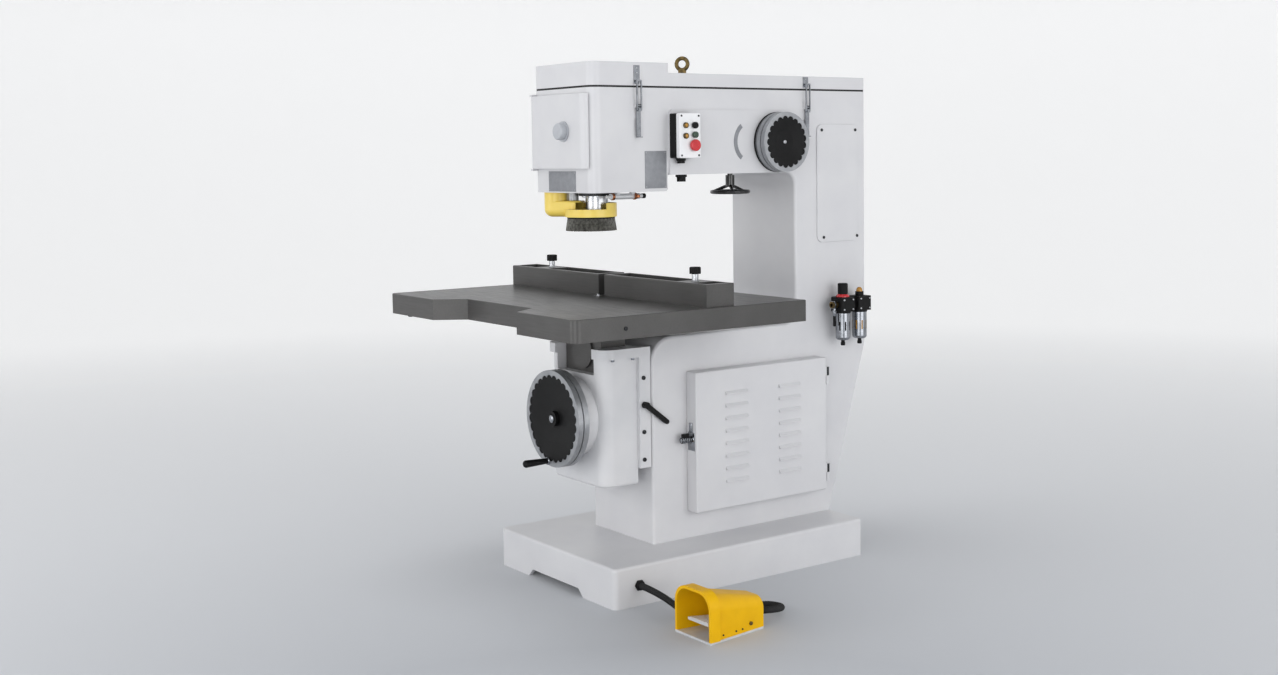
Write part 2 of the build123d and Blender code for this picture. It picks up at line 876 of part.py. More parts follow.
# Collet nut that holds the cutter
with BuildPart() as collet_nut:
    post(0, spindle_y, collet_foot + 14, spindle_foot - 1, collet_radius)
    with BuildSketch(Plane.XY.offset(collet_foot)):
        with Locations((0, spindle_y)):
            RegularPolygon(collet_radius - 1, 6)
    extrude(amount=14)
    post(0, spindle_y, collet_foot - 1, collet_foot + bit_depth, bit_radius, mode=Mode.SUBTRACT)
collet_nut.part.label = "collet_nut"
export_step(collet_nut.part, "parts/collet_nut.step")

# Bridge across the head that carries the spindle pulley and the feed cylinder
bridge_top = bridge_bottom + bridge_height
with BuildPart() as bearing_bridge:
    block(-inner_half, inner_half, spindle_y - 50, head_rear - wall, bridge_bottom, bridge_top)
    post(0, spindle_y, bridge_bottom - 1, bridge_top + 1, journal_radius + running_fit, mode=Mode.SUBTRACT)
    post(0, cylinder_y, bridge_bottom - 1, bridge_top + 1, rod_radius + 2, mode=Mode.SUBTRACT)
bearing_bridge.part.label = "bearing_bridge"
export_step(bearing_bridge.part, "parts/bearing_bridge.step")

# Air cylinder that feeds the quill
with BuildPart() as feed_cylinder:
    post(0, cylinder_y, bridge_top, cylinder_top, cylinder_radius)
    post(0, cylinder_y, bridge_top + 4, cylinder_top - 6, cylinder_bore, mode=Mode.SUBTRACT)
    post(0, cylinder_y, bridge_top - 1, bridge_top + 5, rod_radius + running_fit, mode=Mode.SUBTRACT)
feed_cylinder.part.label = "feed_cylinder"
export_step(feed_cylinder.part, "parts/feed_cylinder.step")

# Spindle pulley, driving the hexagon
pulley_bottom = belt_bottom - pulley_flange
pulley_top = belt_bottom + belt_width + pulley_flange
with BuildPart() as spindle_pulley:
    post(0, spindle_y, pulley_bottom, pulley_top, spindle_pulley_radius)
    for low in (pulley_bottom, pulley_top - pulley_flange):
        post(0, spindle_y, low, low + pulley_flange, spindle_pulley_radius + pulley_lip)
    post(0, spindle_y, bridge_top, pulley_bottom, journal_radius + 6)
    post(0, spindle_y, bridge_bottom - 2, bridge_top, journal_radius)
    with BuildSketch(Plane.XY.offset(bridge_bottom - 3)):
        with Locations((0, spindle_y)):
            RegularPolygon(spline_flats / 2 + slide_gap, 6, major_radius=False)
    extrude(amount=pulley_top - bridge_bottom + 4, mode=Mode.SUBTRACT)
spindle_pulley.part.label = "spindle_pulley"
export_step(spindle_pulley.part, "parts/spindle_pulley.step")

# Motor pulley with the motor shaft
motor_top = carriage_bottom
with BuildPart() as motor_pulley:
    post(0, motor_y, belt_bottom, belt_bottom + belt_width, motor_pulley_radius)
    for low in (pulley_bottom, pulley_top - pulley_flange):
        post(0, motor_y, low, low + pulley_flange, motor_pulley_radius + pulley_lip)
    post(0, motor_y, motor_top - 40, pulley_top + 8, motor_shaft)
motor_pulley.part.label = "motor_pulley"
export_step(motor_pulley.part, "parts/motor_pulley.step")

# Flat belt round both pulleys
belt_lean = math.asin((motor_pulley_radius - spindle_pulley_radius) / (motor_y - spindle_y))
with BuildPart() as drive_belt:
    for spread, how in ((belt_gap + belt_thick, Mode.ADD), (belt_gap, Mode.SUBTRACT)):
        small = spindle_pulley_radius + spread
        large = motor_pulley_radius + spread
        with BuildSketch(Plane.XY.offset(belt_bottom)):
            with Locations((0, spindle_y)):
                Circle(small)
            with Locations((0, motor_y)):
                Circle(large)
            with BuildLine():
                Polyline(
                    (small * math.cos(belt_lean), spindle_y - small * math.sin(belt_lean)),
                    (large * math.cos(belt_lean), motor_y - large * math.sin(belt_lean)),
                    (-large * math.cos(belt_lean), motor_y - large * math.sin(belt_lean)),
                    (-small * math.cos(belt_lean), spindle_y - small * math.sin(belt_lean)),
                    close=True,
                )
            make_face()
        extrude(amount=belt_width, mode=how)
drive_belt.part.label = "drive_belt"
export_step(drive_belt.part, "parts/drive_belt.step")

# Motor carriage: plate on the ledges, tongue for the lock screw, rack for the pinion
carriage_top = carriage_bottom + carriage_height
tooth_pitch = 2 * math.pi * pinion_pitch_radius / pinion_teeth
rack_bottom = tension_z + pinion_pitch_radius + tooth_height / 2 + 1.5
rack_front = tension_y - 63
with BuildPart() as motor_carriage:
    block(
        -inner_half + 3, inner_half - 3, carriage_front, carriage_rear,
        carriage_bottom, carriage_top,
    )
    block(-18, 18, lock_y - 27, carriage_front, carriage_bottom, carriage_top)
    block(pinion_x, pinion_x + pinion_width, rack_front, carriage_front, rack_bottom, carriage_top)
    for tooth in range(-5, 5):
        middle = tension_y + (tooth + 0.5) * tooth_pitch
        block(
            pinion_x, pinion_x + pinion_width, middle - 2, middle + 2,
            rack_bottom - tooth_height - 1, rack_bottom,
        )
    post(0, motor_y, carriage_bottom - 1, carriage_top + 1, motor_shaft + 2, mode=Mode.SUBTRACT)
motor_carriage.part.label = "motor_carriage"
export_step(motor_carriage.part, "parts/motor_carriage.step")

# Motor hung under the carriage
with BuildPart() as motor:
    post(0, motor_y, motor_top - motor_length, motor_top, motor_radius - 12)
    post(0, motor_y, motor_top - 16, motor_top, motor_radius)
    post(0, motor_y, motor_top - motor_length, motor_top - motor_length + 26, motor_radius - 5)
    with BuildSketch(Plane.XY.offset(motor_top - motor_length + 40)):
        with Locations((0, motor_y)):
            with PolarLocations(motor_radius - 10, 32):
                Rectangle(12, 3)
    extrude(amount=motor_length - 70)
    post(0, motor_y, motor_top - 42, motor_top + 1, motor_shaft + running_fit, mode=Mode.SUBTRACT)
motor.part.label = "motor"
export_step(motor.part, "parts/motor.step")

# Tension wheel: ringed rim, shaft through the arm wall and pinion on the rack
wheel_back = pad_face + 0.5
wheel_face = pad_face + tension_depth
with BuildPart() as tension_wheel:
    bar_x(wheel_back, wheel_face, tension_y, tension_z, tension_radius)
    for groove in (wheel_back + 9, wheel_back + 30):
        bar_x(groove, groove + 4, tension_y, tension_z, tension_radius + 1, mode=Mode.SUBTRACT)
        bar_x(groove, groove + 4, tension_y, tension_z, tension_radius - 4)
    with BuildSketch(Plane.YZ.offset(wheel_face - recess_depth)):
        with BuildLine():
            for lobe in range(tension_lobes):
                ThreePointArc(*lobe_arc(tension_y, tension_z, tension_recess, tension_lobes, lobe))
        make_face()
    extrude(amount=recess_depth + 1, mode=Mode.SUBTRACT)
    bar_x(pinion_x, wheel_back, tension_y, tension_z, tension_shaft)
    with BuildSketch(Plane.YZ.offset(pinion_x)):
        with Locations((tension_y, tension_z)):
            Circle(pinion_pitch_radius - tooth_height / 2)
            with PolarLocations(pinion_pitch_radius - 1.5, pinion_teeth, start_angle=90):
                Rectangle(tooth_height + 3, 4)
    extrude(amount=pinion_width)
tension_wheel.part.label = "tension_wheel"
export_step(tension_wheel.part, "parts/tension_wheel.step")

# Black scalloped dish in the front of the tension wheel
with BuildPart() as tension_dish:
    with BuildSketch(Plane.YZ.offset(wheel_face - recess_depth)):
        with BuildLine():
            for lobe in range(tension_lobes):
                ThreePointArc(
                    *lobe_arc(tension_y, tension_z, tension_recess - slide_gap, tension_lobes, lobe)
                )
        make_face()
    extrude(amount=recess_depth - dish_inset)
    with Locations((wheel_face - recess_depth + face_thick, tension_y, tension_z)):
        Cone(
            hub_radius * 1.5, tension_recess - lobe_depth, recess_depth - dish_inset - face_thick,
            rotation=(0, 90, 0), align=(Align.CENTER, Align.CENTER, Align.MIN), mode=Mode.SUBTRACT,
        )
tension_dish.part.label = "tension_dish"
export_step(tension_dish.part, "parts/tension_dish.step")

# Carriage lock wheel: dished rim on spokes, with its screw up to the tongue
with BuildPart() as lock_wheel:
    with Locations((0, lock_y, lock_rim_z)):
        Torus(lock_radius, lock_rim)
    post(0, lock_y, lock_rim_z + 16, arm_bottom - 8, lock_hub)
    post(0, lock_y, arm_bottom - 8, carriage_bottom - slide_gap, lock_screw)
    for spoke in range(3):
        turn = 90 + 120 * spoke
        tip = polar(lock_radius, turn)
        slope = Plane(origin=(0, lock_y, lock_rim_z + 24), z_dir=(tip[0], tip[1], -24))
        with BuildSketch(slope):
            Circle(5.5)
        extrude(amount=math.hypot(lock_radius, 24))
lock_wheel.part.label = "lock_wheel"
export_step(lock_wheel.part, "parts/lock_wheel.step")

# Front cover of the head, hung on the pins at its left
cover_back = head_front - slide_gap
cover_face = head_front - cover_depth
with BuildPart() as front_cover:
    block(-cover_half, cover_half, cover_face, cover_back, cover_bottom, cover_top)
    fillet(front_cover.edges().filter_by(Axis.Z).group_by(Axis.Y)[0], cover_round)
    fillet(front_cover.edges().filter_by(Axis.Z).group_by(Axis.Y)[-1].sort_by(Axis.X)[0], 4)
    block(
        cover_pivot_x + 15, cover_half - cover_round, cover_face + 4, cover_back + 1,
        cover_bottom + 4, cover_top - 4, mode=Mode.SUBTRACT,
    )
    for low in (cover_bottom - 1, cover_top - 11):
        post(cover_pivot_x, cover_pivot_y, low, low + 12, cover_pin + running_fit, mode=Mode.SUBTRACT)
    bar_y(
        cover_face - 1, cover_face + 5, cover_knob_x, cover_knob_z, 6 + running_fit, mode=Mode.SUBTRACT,
    )
front_cover.part.label = "front_cover"
export_step(front_cover.part, "parts/front_cover.step")

# Knob of the front cover, with its cam inside
with BuildPart() as cover_knob:
    bar_y(cover_face - 4, cover_face - slide_gap, cover_knob_x, cover_knob_z, cover_knob_flange)
    bar_y(cover_face - 25, cover_face - 4, cover_knob_x, cover_knob_z, cover_knob_radius)
    fillet(cover_knob.faces().sort_by(Axis.Y)[0].edges(), 5)
    bar_y(cover_face - 4, cover_face + 9, cover_knob_x, cover_knob_z, 6)
    block(
        cover_knob_x - 6, cover_knob_x + 30, cover_face + 5, cover_face + 9,
        cover_knob_z - 6, cover_knob_z + 6,
    )
cover_knob.part.label = "cover_knob"
export_step(cover_knob.part, "parts/cover_knob.step")

# Louvred cabinet door: a folded pan on two hinges
door_face = half_body + door_depth
with BuildPart() as door:
    block(half_body + panel_gap, door_face, door_front, door_rear, door_bottom, door_top)
    fillet(door.edges().filter_by(Axis.X), door_edge)
    fillet(door.faces().sort_by(Axis.X)[-1].edges(), door_edge)
    block(
        half_body, door_face - sheet, door_front + sheet, door_rear - sheet,
        door_bottom + sheet, door_top - sheet, mode=Mode.SUBTRACT,
    )
    for column in louvre_columns:
        for skin, how in ((0, Mode.ADD), (1.5, Mode.SUBTRACT)):
            with BuildSketch(Plane.XZ.offset(-column - louvre_length / 2 + skin)):
                for row in range(louvre_rows):
                    low = louvre_low + row * louvre_pitch
                    with BuildLine():
                        Polyline(
                            (door_face - sheet - skin, low),
                            (door_face + louvre_rise - skin, low),
                            (door_face + louvre_rise - skin, low + 3),
                            (door_face - sheet - skin, low + louvre_height - skin * 1.5),
                            close=True,
                        )
                    make_face()
            extrude(amount=louvre_length - 2 * skin, mode=how)
    for height in door_hinge_heights:
        block(
            hinge_x - 4, hinge_x + 4, door_rear - sheet, hinge_y,
            height + slide_gap, height + hinge_length,
        )
        post(hinge_x, hinge_y, height + slide_gap, height + hinge_length, hinge_knuckle)
        post(
            hinge_x, hinge_y, height - 1, height + hinge_length + 1,
            hinge_knuckle / 2 + running_fit, mode=Mode.SUBTRACT,
        )
    bar_y(
        door_front - 1, door_front + sheet + 1, half_body + door_latch_x, door_latch_z,
        5 + running_fit, mode=Mode.SUBTRACT,
    )
door.part.label = "door"
export_step(door.part, "parts/door.step")

# Turning latch in the front edge of the door
latch_x = half_body + door_latch_x
with BuildPart() as door_latch:
    bar_y(door_front - 40, door_front - slide_gap, latch_x, door_latch_z, 9.5)
    block(latch_x - 3, latch_x + 3, door_front - 38, door_front - 12, door_latch_z, door_latch_z + 20)
    bar_y(door_front - 1, door_front + sheet + 4, latch_x, door_latch_z, 5)
    block(
        latch_x - 5, latch_x + 5, door_front + sheet + slide_gap, door_front + sheet + 4,
        door_latch_z - 20, door_latch_z + 5,
    )
door_latch.part.label = "door_latch"
export_step(door_latch.part, "parts/door_latch.step")

# Electrics on a back panel in the cabinet
with BuildPart() as electrics_panel:
    block(-inner_half, -inner_half + 4, -60, 400, 230, 640)
    for low, high, depth in ((250, 350, 60), (390, 470, 90), (520, 610, 70)):
        block(-inner_half + 4, -inner_half + depth, -30, 370, low, high)
electrics_panel.part.label = "electrics_panel"
export_step(electrics_panel.part, "parts/electrics_panel.step")

# Control box on the pad: black back, pale cover, three buttons
box_face = pad_face + box_depth
panel_face = box_face + box_lid
button_y = box_front + button_column
with BuildPart() as control_box:
    block(pad_face, box_face, box_front, box_front + box_width, box_bottom, box_bottom + box_height)
    fillet(control_box.edges().filter_by(Axis.X), 5)
    post(pad_face + 16, box_front + 30, box_bottom - 16, box_bottom, 12)
    post(half_body - 15, box_front + 59, arm_bottom - 22, arm_bottom, 14)
control_box.part.label = "control_box"
export_step(control_box.part, "parts/control_box.step")

with BuildPart() as control_panel:
    block(box_face, panel_face, box_front, box_front + box_width, box_bottom, box_bottom + box_height)
    fillet(control_panel.edges().filter_by(Axis.X), 5)
    fillet(control_panel.faces().sort_by(Axis.X)[-1].edges(), 2.5)
    for rise in (button_high, button_mid, button_low):
        bar_x(
            box_face + 2, panel_face + 1, button_y, box_bottom + rise,
            button_radius / 2 + running_fit, mode=Mode.SUBTRACT,
        )
    for rise in (button_high, button_high - 32):
        bar_x(panel_face, panel_face + 6, box_front + 23, box_bottom + rise, 8)
control_panel.part.label = "control_panel"
export_step(control_panel.part, "parts/control_panel.step")

for name, rise, size in (
    ("start_button", button_high, button_radius),
    ("stop_button", button_mid, button_radius),
    ("emergency_stop", button_low, stop_radius),
):
    with BuildPart() as button:
        cap_back = panel_face + button_travel + slide_gap
        bar_x(cap_back, cap_back + button_proud, button_y, box_bottom + rise, size)
        fillet(button.faces().sort_by(Axis.X)[-1].edges(), 2.5)
        bar_x(box_face + 2 + button_travel + 1, cap_back, button_y, box_bottom + rise, button_radius / 2)
    button.part.label = name
    export_step(button.part, f"parts/{name}.step")

# Knee: hollow box on the way, with the flange that carries the table
boss_front = wheel_front + wheel_ring + wheel_groove + wheel_collar
flange_top = flange_bottom + flange_height
with BuildPart() as knee:
    block(-knee_half, knee_half, knee_front, saddle_front, knee_bottom, flange_bottom)
    fillet(knee.edges().filter_by(Axis.Z).group_by(Axis.Y)[0], knee_corner)
    fillet(knee.faces().sort_by(Axis.Z)[0].edges().filter_by(Axis.X), 10)
    block(-saddle_half, saddle_half, saddle_front, block_front - 4, saddle_bottom, flange_bottom)
    with BuildSketch(Plane.XY.offset(flange_bottom)) as flange_outline:
        with Locations((0, (flange_front + block_front - 4) / 2)):
            Rectangle(2 * flange_half, block_front - 4 - flange_front)
        fillet(flange_outline.vertices().group_by(Axis.Y)[0], flange_corner)
    extrude(amount=flange_height)
    bar_y(boss_front + 0.5, knee_front + 1, 0, wheel_z, wheel_boss)
    block(
        -window_half, window_half, flange_front - 1, pedestal_rear, window_bottom, flange_top + 1,
        mode=Mode.SUBTRACT,
    )
    with BuildSketch(Plane.XY.offset(saddle_bottom - 1)):
        with BuildLine():
            Polyline(
                (-way_half - slide_gap, way_front - slide_gap),
                (way_half + slide_gap, way_front - slide_gap),
                (way_half - way_flare + slide_gap * 1.2, block_front),
                (-way_half + way_flare - slide_gap * 1.2, block_front),
                close=True,
            )
        make_face()
    extrude(amount=flange_top - saddle_bottom + 2, mode=Mode.SUBTRACT)
    block(
        -knee_cavity_half, knee_cavity_half, knee_cavity_front, saddle_front - 6,
        knee_cavity_bottom, knee_cavity_top, mode=Mode.SUBTRACT,
    )
    block(
        -knee_slot_half, knee_slot_half, saddle_front - 7, way_front,
        knee_cavity_bottom, knee_cavity_top, mode=Mode.SUBTRACT,
    )
    bar_y(
        boss_front - 1, knee_cavity_front + 1, 0, wheel_z, lift_shaft_radius + running_fit,
        mode=Mode.SUBTRACT,
    )
    bar_x(
        saddle_half - 20, saddle_half + 1, clamp_y, clamp_z, clamp_radius / 2 + running_fit,
        mode=Mode.SUBTRACT,
    )
knee.part.label = "knee"
export_step(knee.part, "parts/knee.step")

# Lift screw with its bevel wheel, standing in the knee and passing through the nut
bevel_back = bevel_radius + 0.5
bevel_tip = bevel_radius - bevel_face
with BuildPart() as lift_screw:
    post(0, lift_y, knee_cavity_bottom, wheel_z - bevel_back, lift_screw_radius)
    with Locations((0, lift_y, wheel_z - bevel_back)):
        Cone(
            bevel_radius, bevel_tip, bevel_face, align=(Align.CENTER, Align.CENTER, Align.MIN),
        )
lift_screw.part.label = "lift_screw"
export_step(lift_screw.part, "parts/lift_screw.step")

# Front hand wheel with its shaft, bevel wheel and crank pin
dish_floor = wheel_front + recess_depth
crank = polar(crank_radius, crank_angle)
with BuildPart() as front_wheel:
    bar_y(wheel_front, boss_front, 0, wheel_z, wheel_radius)
    groove = wheel_front + wheel_ring
    bar_y(groove, groove + wheel_groove, 0, wheel_z, wheel_radius + 1, mode=Mode.SUBTRACT)
    bar_y(groove, groove + wheel_groove, 0, wheel_z, wheel_radius - 5)
    with BuildSketch(Plane.XZ.offset(-dish_floor)):
        with BuildLine():
            for lobe in range(wheel_lobes):
                ThreePointArc(*lobe_arc(0, wheel_z, wheel_recess, wheel_lobes, lobe))
        make_face()
    extrude(amount=recess_depth + 1, mode=Mode.SUBTRACT)
    bar_y(boss_front, lift_y - bevel_back, 0, wheel_z, lift_shaft_radius)
    with Locations((0, lift_y - bevel_back, wheel_z)):
        Cone(
            bevel_radius, bevel_tip, bevel_face, rotation=(-90, 0, 0),
            align=(Align.CENTER, Align.CENTER, Align.MIN),
        )
    bar_y(wheel_front, dish_floor + 1, crank[0], wheel_z + crank[1], crank_root - slide_gap)
    bar_y(wheel_front - crank_length + 20, wheel_front + 4, crank[0], wheel_z + crank[1], 4)
front_wheel.part.label = "front_wheel"
export_step(front_wheel.part, "parts/front_wheel.step")

# Black scalloped dish in the front wheel
with BuildPart() as front_dish:
    with BuildSketch(Plane.XZ.offset(-dish_floor)):
        with BuildLine():
            for lobe in range(wheel_lobes):
                ThreePointArc(*lobe_arc(0, wheel_z, wheel_recess - slide_gap, wheel_lobes, lobe))
        make_face()
    extrude(amount=recess_depth - dish_inset)
    with Locations((0, dish_floor - face_thick, wheel_z)):
        Cone(
            hub_radius * 1.5, wheel_recess - lobe_depth, recess_depth - dish_inset - face_thick,
            rotation=(90, 0, 0), align=(Align.CENTER, Align.CENTER, Align.MIN), mode=Mode.SUBTRACT,
        )
    bar_y(wheel_front - 2, dish_floor - face_thick + 1, 0, wheel_z, hub_radius)
    bar_y(wheel_front - 1, dish_floor + 1, crank[0], wheel_z + crank[1], crank_root, mode=Mode.SUBTRACT)
front_dish.part.label = "front_dish"
export_step(front_dish.part, "parts/front_dish.step")

# Crank handle, free to turn on its pin
with BuildPart() as crank_handle:
    with Locations((crank[0], wheel_front - slide_gap, wheel_z + crank[1])):
        Cone(
            crank_root, crank_tip, crank_length, rotation=(90, 0, 0),
            align=(Align.CENTER, Align.CENTER, Align.MIN),
        )
    fillet(crank_handle.faces().sort_by(Axis.Y)[0].edges(), 9)
    bar_y(
        wheel_front - crank_length + 18, wheel_front, crank[0], wheel_z + crank[1],
        4 + running_fit, mode=Mode.SUBTRACT,
    )
crank_handle.part.label = "crank_handle"
export_step(crank_handle.part, "parts/crank_handle.step")

# Knee clamp lever on the right of the saddle
with BuildPart() as knee_clamp:
    bar_x(saddle_half - 18, saddle_half + 6, clamp_y, clamp_z, clamp_radius / 2)
    bar_x(saddle_half + slide_gap, saddle_half + 18, clamp_y, clamp_z, clamp_radius)
    lever_way = (math.cos(math.radians(clamp_angle)), math.sin(math.radians(clamp_angle)))
    with BuildSketch(Plane.YZ.offset(saddle_half + 8)):
        with Locations((
            clamp_y + lever_way[0] * clamp_length / 2, clamp_z + lever_way[1] * clamp_length / 2,
        )):
            SlotCenterToCenter(clamp_length, 15, rotation=clamp_angle)
    extrude(amount=9)
knee_clamp.part.label = "knee_clamp"
export_step(knee_clamp.part, "parts/knee_clamp.step")

# Table with its pedestal, which stands in the knee
table_bottom = table_top - table_thick
with BuildPart() as table:
    with BuildSketch(Plane.XY.offset(table_bottom)) as table_outline:
        with BuildLine():
            Polyline(
                (-table_half, table_rear), (-table_half, table_front),
                (-notch_mouth / 2, table_front), (-notch_floor / 2, table_front + notch_depth),
                (notch_floor / 2, table_front + notch_depth), (notch_mouth / 2, table_front),
                (table_half, table_front), (table_half, table_rear), close=True,
            )
        make_face()
        fillet(table_outline.vertices().sort_by_distance((-table_half, table_front))[0], table_corner)
        fillet(table_outline.vertices().sort_by_distance((table_half, table_front))[0], table_corner)
    extrude(amount=table_thick)
    chamfer(table.faces().sort_by(Axis.Z)[-1].edges(), 1.5)
    block(
        -pedestal_half, pedestal_half, pedestal_front, pedestal_rear, window_bottom, table_bottom,
    )
    bar_y(
        pedestal_front - pedestal_boss_proud, pedestal_front + 1, 0, pedestal_boss_z, pedestal_boss,
    )
    for side in (-1, 1):
        for near, far in (
            (table_front + notch_depth + table_rib, pedestal_rear),
            (pedestal_rear + table_rib, table_rear - table_rib),
        ):
            block(
                min(side * (pedestal_half + 30), side * (table_half - table_rib)),
                max(side * (pedestal_half + 30), side * (table_half - table_rib)),
                near, far, table_bottom, table_top - table_plate, mode=Mode.SUBTRACT,
            )
    post(
        0, spindle_y, table_top - pin_length + pin_proud, table_top + 1, pin_radius + running_fit,
        mode=Mode.SUBTRACT,
    )
table.part.label = "table"
export_step(table.part, "parts/table.step")

# Guide pin in the table under the spindle
with BuildPart() as guide_pin:
    post(0, spindle_y, table_top - pin_length + pin_proud, table_top + pin_proud, pin_radius)
    chamfer(guide_pin.faces().sort_by(Axis.Z)[-1].edges(), 1)
guide_pin.part.label = "guide_pin"
export_step(guide_pin.part, "parts/guide_pin.step")

# Fence halves with open pockets along the top, and their clamp knobs
fence_top = table_top + fence_height
fence_rear = fence_front + fence_depth
pocket_middle = (fence_front + fence_rear) / 2
for name, ends, knob_x in zip(("left", "right"), fence_ends, fence_knob_places):
    with BuildPart() as fence:
        block(ends[0], ends[1], fence_front, fence_rear, table_top, fence_top)
        fillet(fence.edges().filter_by(Axis.X).group_by(Axis.Z)[-1], 4)
        for near, far in ((ends[0] + 16, knob_x - 40), (knob_x + 40, ends[1] - 16)):
            block(
                near, far, fence_front + fence_wall, fence_rear - fence_wall,
                table_top + 14, fence_top + 1, mode=Mode.SUBTRACT,
            )
        post(
            knob_x, pocket_middle, fence_top - 30, fence_top + 1, fence_stud + running_fit,
            mode=Mode.SUBTRACT,
        )
    fence.part.label = f"{name}_fence"
    export_step(fence.part, f"parts/{name}_fence.step")

    knob_low = fence_top + fence_knob_stand
    with BuildPart() as fence_knob:
        post(knob_x, pocket_middle, knob_low, knob_low + fence_knob_height, fence_knob_radius)
        fillet(fence_knob.faces().sort_by(Axis.Z)[-1].edges(), 3)
        with BuildSketch(Plane.XY.offset(knob_low)):
            with Locations((knob_x, pocket_middle)):
                with PolarLocations(fence_knob_radius + 3, 8):
                    Circle(5)
        extrude(amount=fence_knob_height, mode=Mode.SUBTRACT)
        post(knob_x, pocket_middle, fence_top - 28, knob_low + 1, fence_stud)
        post(knob_x, pocket_middle, fence_top + slide_gap, knob_low, fence_stud + 3)
    fence_knob.part.label = f"{name}_fence_knob"
    export_step(fence_knob.part, f"parts/{name}_fence_knob.step")

# Dust hood: ring over the cutter with a hollow arm out to its neck under the head
hood_ring_top = hood_bottom + hood_lip
hood_top = hood_bottom + hood_roof
arm_way = math.atan2(hood_arm_y - hood_y, hood_arm_x - hood_x)
arm_reach = math.hypot(hood_arm_x - hood_x, hood_arm_y - hood_y)
with BuildPart() as hood_arm:
    with BuildSketch(Plane.XY.offset(hood_bottom)):
        with Locations((
            hood_x + math.cos(arm_way) * arm_reach * 0.75, hood_y + math.sin(arm_way) * arm_reach * 0.75,
        )):
            SlotCenterToCenter(arm_reach / 2, 2 * hood_arm_radius, rotation=math.degrees(arm_way))
    extrude(amount=hood_roof)
    fillet(hood_arm.faces().sort_by(Axis.Z)[-1].edges(), 6)
    fillet(hood_arm.faces().sort_by(Axis.Z)[0].edges(), hood_elbow)
with BuildPart() as hood_hollow:
    with BuildSketch(Plane.XY.offset(hood_bottom + hood_wall)):
        with Locations((
            hood_x + math.cos(arm_way) * arm_reach * 0.7, hood_y + math.sin(arm_way) * arm_reach * 0.7,
        )):
            SlotCenterToCenter(
                arm_reach * 0.6, 2 * (hood_arm_radius - hood_wall), rotation=math.degrees(arm_way),
            )
    extrude(amount=hood_roof - 2 * hood_wall)
    fillet(hood_hollow.faces().sort_by(Axis.Z)[0].edges(), hood_elbow - hood_wall)
with BuildPart() as dust_hood:
    post(hood_x, hood_y, hood_bottom, hood_ring_top, hood_radius)
    add(hood_arm.part)
    post(hood_arm_x, hood_arm_y, hood_top - 10, head_bottom, hood_arm_radius)
    post(hood_x - 48, hood_y - 34, hood_top - 1, head_bottom, 16)
    post(
        hood_x, hood_y, hood_bottom - 1, hood_ring_top - hood_wall, hood_radius - hood_wall,
        mode=Mode.SUBTRACT,
    )
    add(hood_hollow.part, mode=Mode.SUBTRACT)
    post(0, spindle_y, hood_bottom - 1, head_bottom, hood_throat, mode=Mode.SUBTRACT)
dust_hood.part.label = "dust_hood"
export_step(dust_hood.part, "parts/dust_hood.step")

# Brush skirt: three rings of bristles under the hood
bristle_tilt = math.degrees(math.atan2(brush_flare, brush_length))
with BuildPart() as brush_skirt:
    post(hood_x, hood_y, brush_top - brush_backing, brush_top, brush_outer)
    post(hood_x, hood_y, brush_top - brush_backing - 1, brush_top + 1, brush_inner, mode=Mode.SUBTRACT)
    strand_places = []
    for radius, count in zip(bristle_rows, bristle_counts):
        for strand in range(count):
            strand_places.append(
                Pos(hood_x, hood_y, brush_top - brush_backing + 1)
                * Rot(0, 0, 360 * strand / count)
                * Pos(radius, 0, 0)
                * Rot(0, -bristle_tilt, 0)
            )
    with Locations(*strand_places):
        Box(bristle, bristle, brush_length, align=(Align.CENTER, Align.CENTER, Align.MAX))
brush_skirt.part.label = "brush_skirt"
export_step(brush_skirt.part, "parts/brush_skirt.step")

# Spindle lock cylinder clipped under the head
lock_z = head_bottom - spindle_lock_drop
with BuildPart() as spindle_lock:
    bar_y(spindle_lock_y, spindle_lock_y + spindle_lock_length, spindle_lock_x, lock_z, spindle_lock_radius)
    bar_y(spindle_lock_y - 14, spindle_lock_y, spindle_lock_x, lock_z, 5)
    bar_y(
        spindle_lock_y + spindle_lock_length, spindle_lock_y + spindle_lock_length + 22,
        spindle_lock_x, lock_z, 7,
    )
    for along in (20, 76):
        block(
            spindle_lock_x - 7, spindle_lock_x + 7, spindle_lock_y + along, spindle_lock_y + along + 12,
            lock_z, head_bottom,
        )
spindle_lock.part.label = "spindle_lock"
export_step(spindle_lock.part, "parts/spindle_lock.step")

# Air service unit: bracket and heads, slotted bowls, pressure knob, inlet
air_rear = air_front + air_pitch
air_top = air_body_bottom + air_body_height
with BuildPart() as air_unit:
    for middle in (air_front, air_rear):
        block(
            air_x - air_body_half, air_x + air_body_half, middle - air_body_half, middle + air_body_half,
            air_body_bottom, air_top,
        )
    fillet(air_unit.edges().filter_by(Axis.Z), 6)
    block(
        air_x - 14, air_x + 14, air_front + air_body_half - 1, air_rear - air_body_half + 1,
        air_body_bottom + 10, air_top - 10,
    )
    block(
        half_body, air_x - air_body_half + 1, air_front + 10, air_rear - 10,
        air_body_bottom + 8, air_top - 8,
    )
    post(air_x, air_front, air_top - 12, air_top + 1, 8 + running_fit, mode=Mode.SUBTRACT)
    post(air_x, air_rear, air_top, air_top + 14, 14)
air_unit.part.label = "air_unit"
export_step(air_unit.part, "parts/air_unit.step")

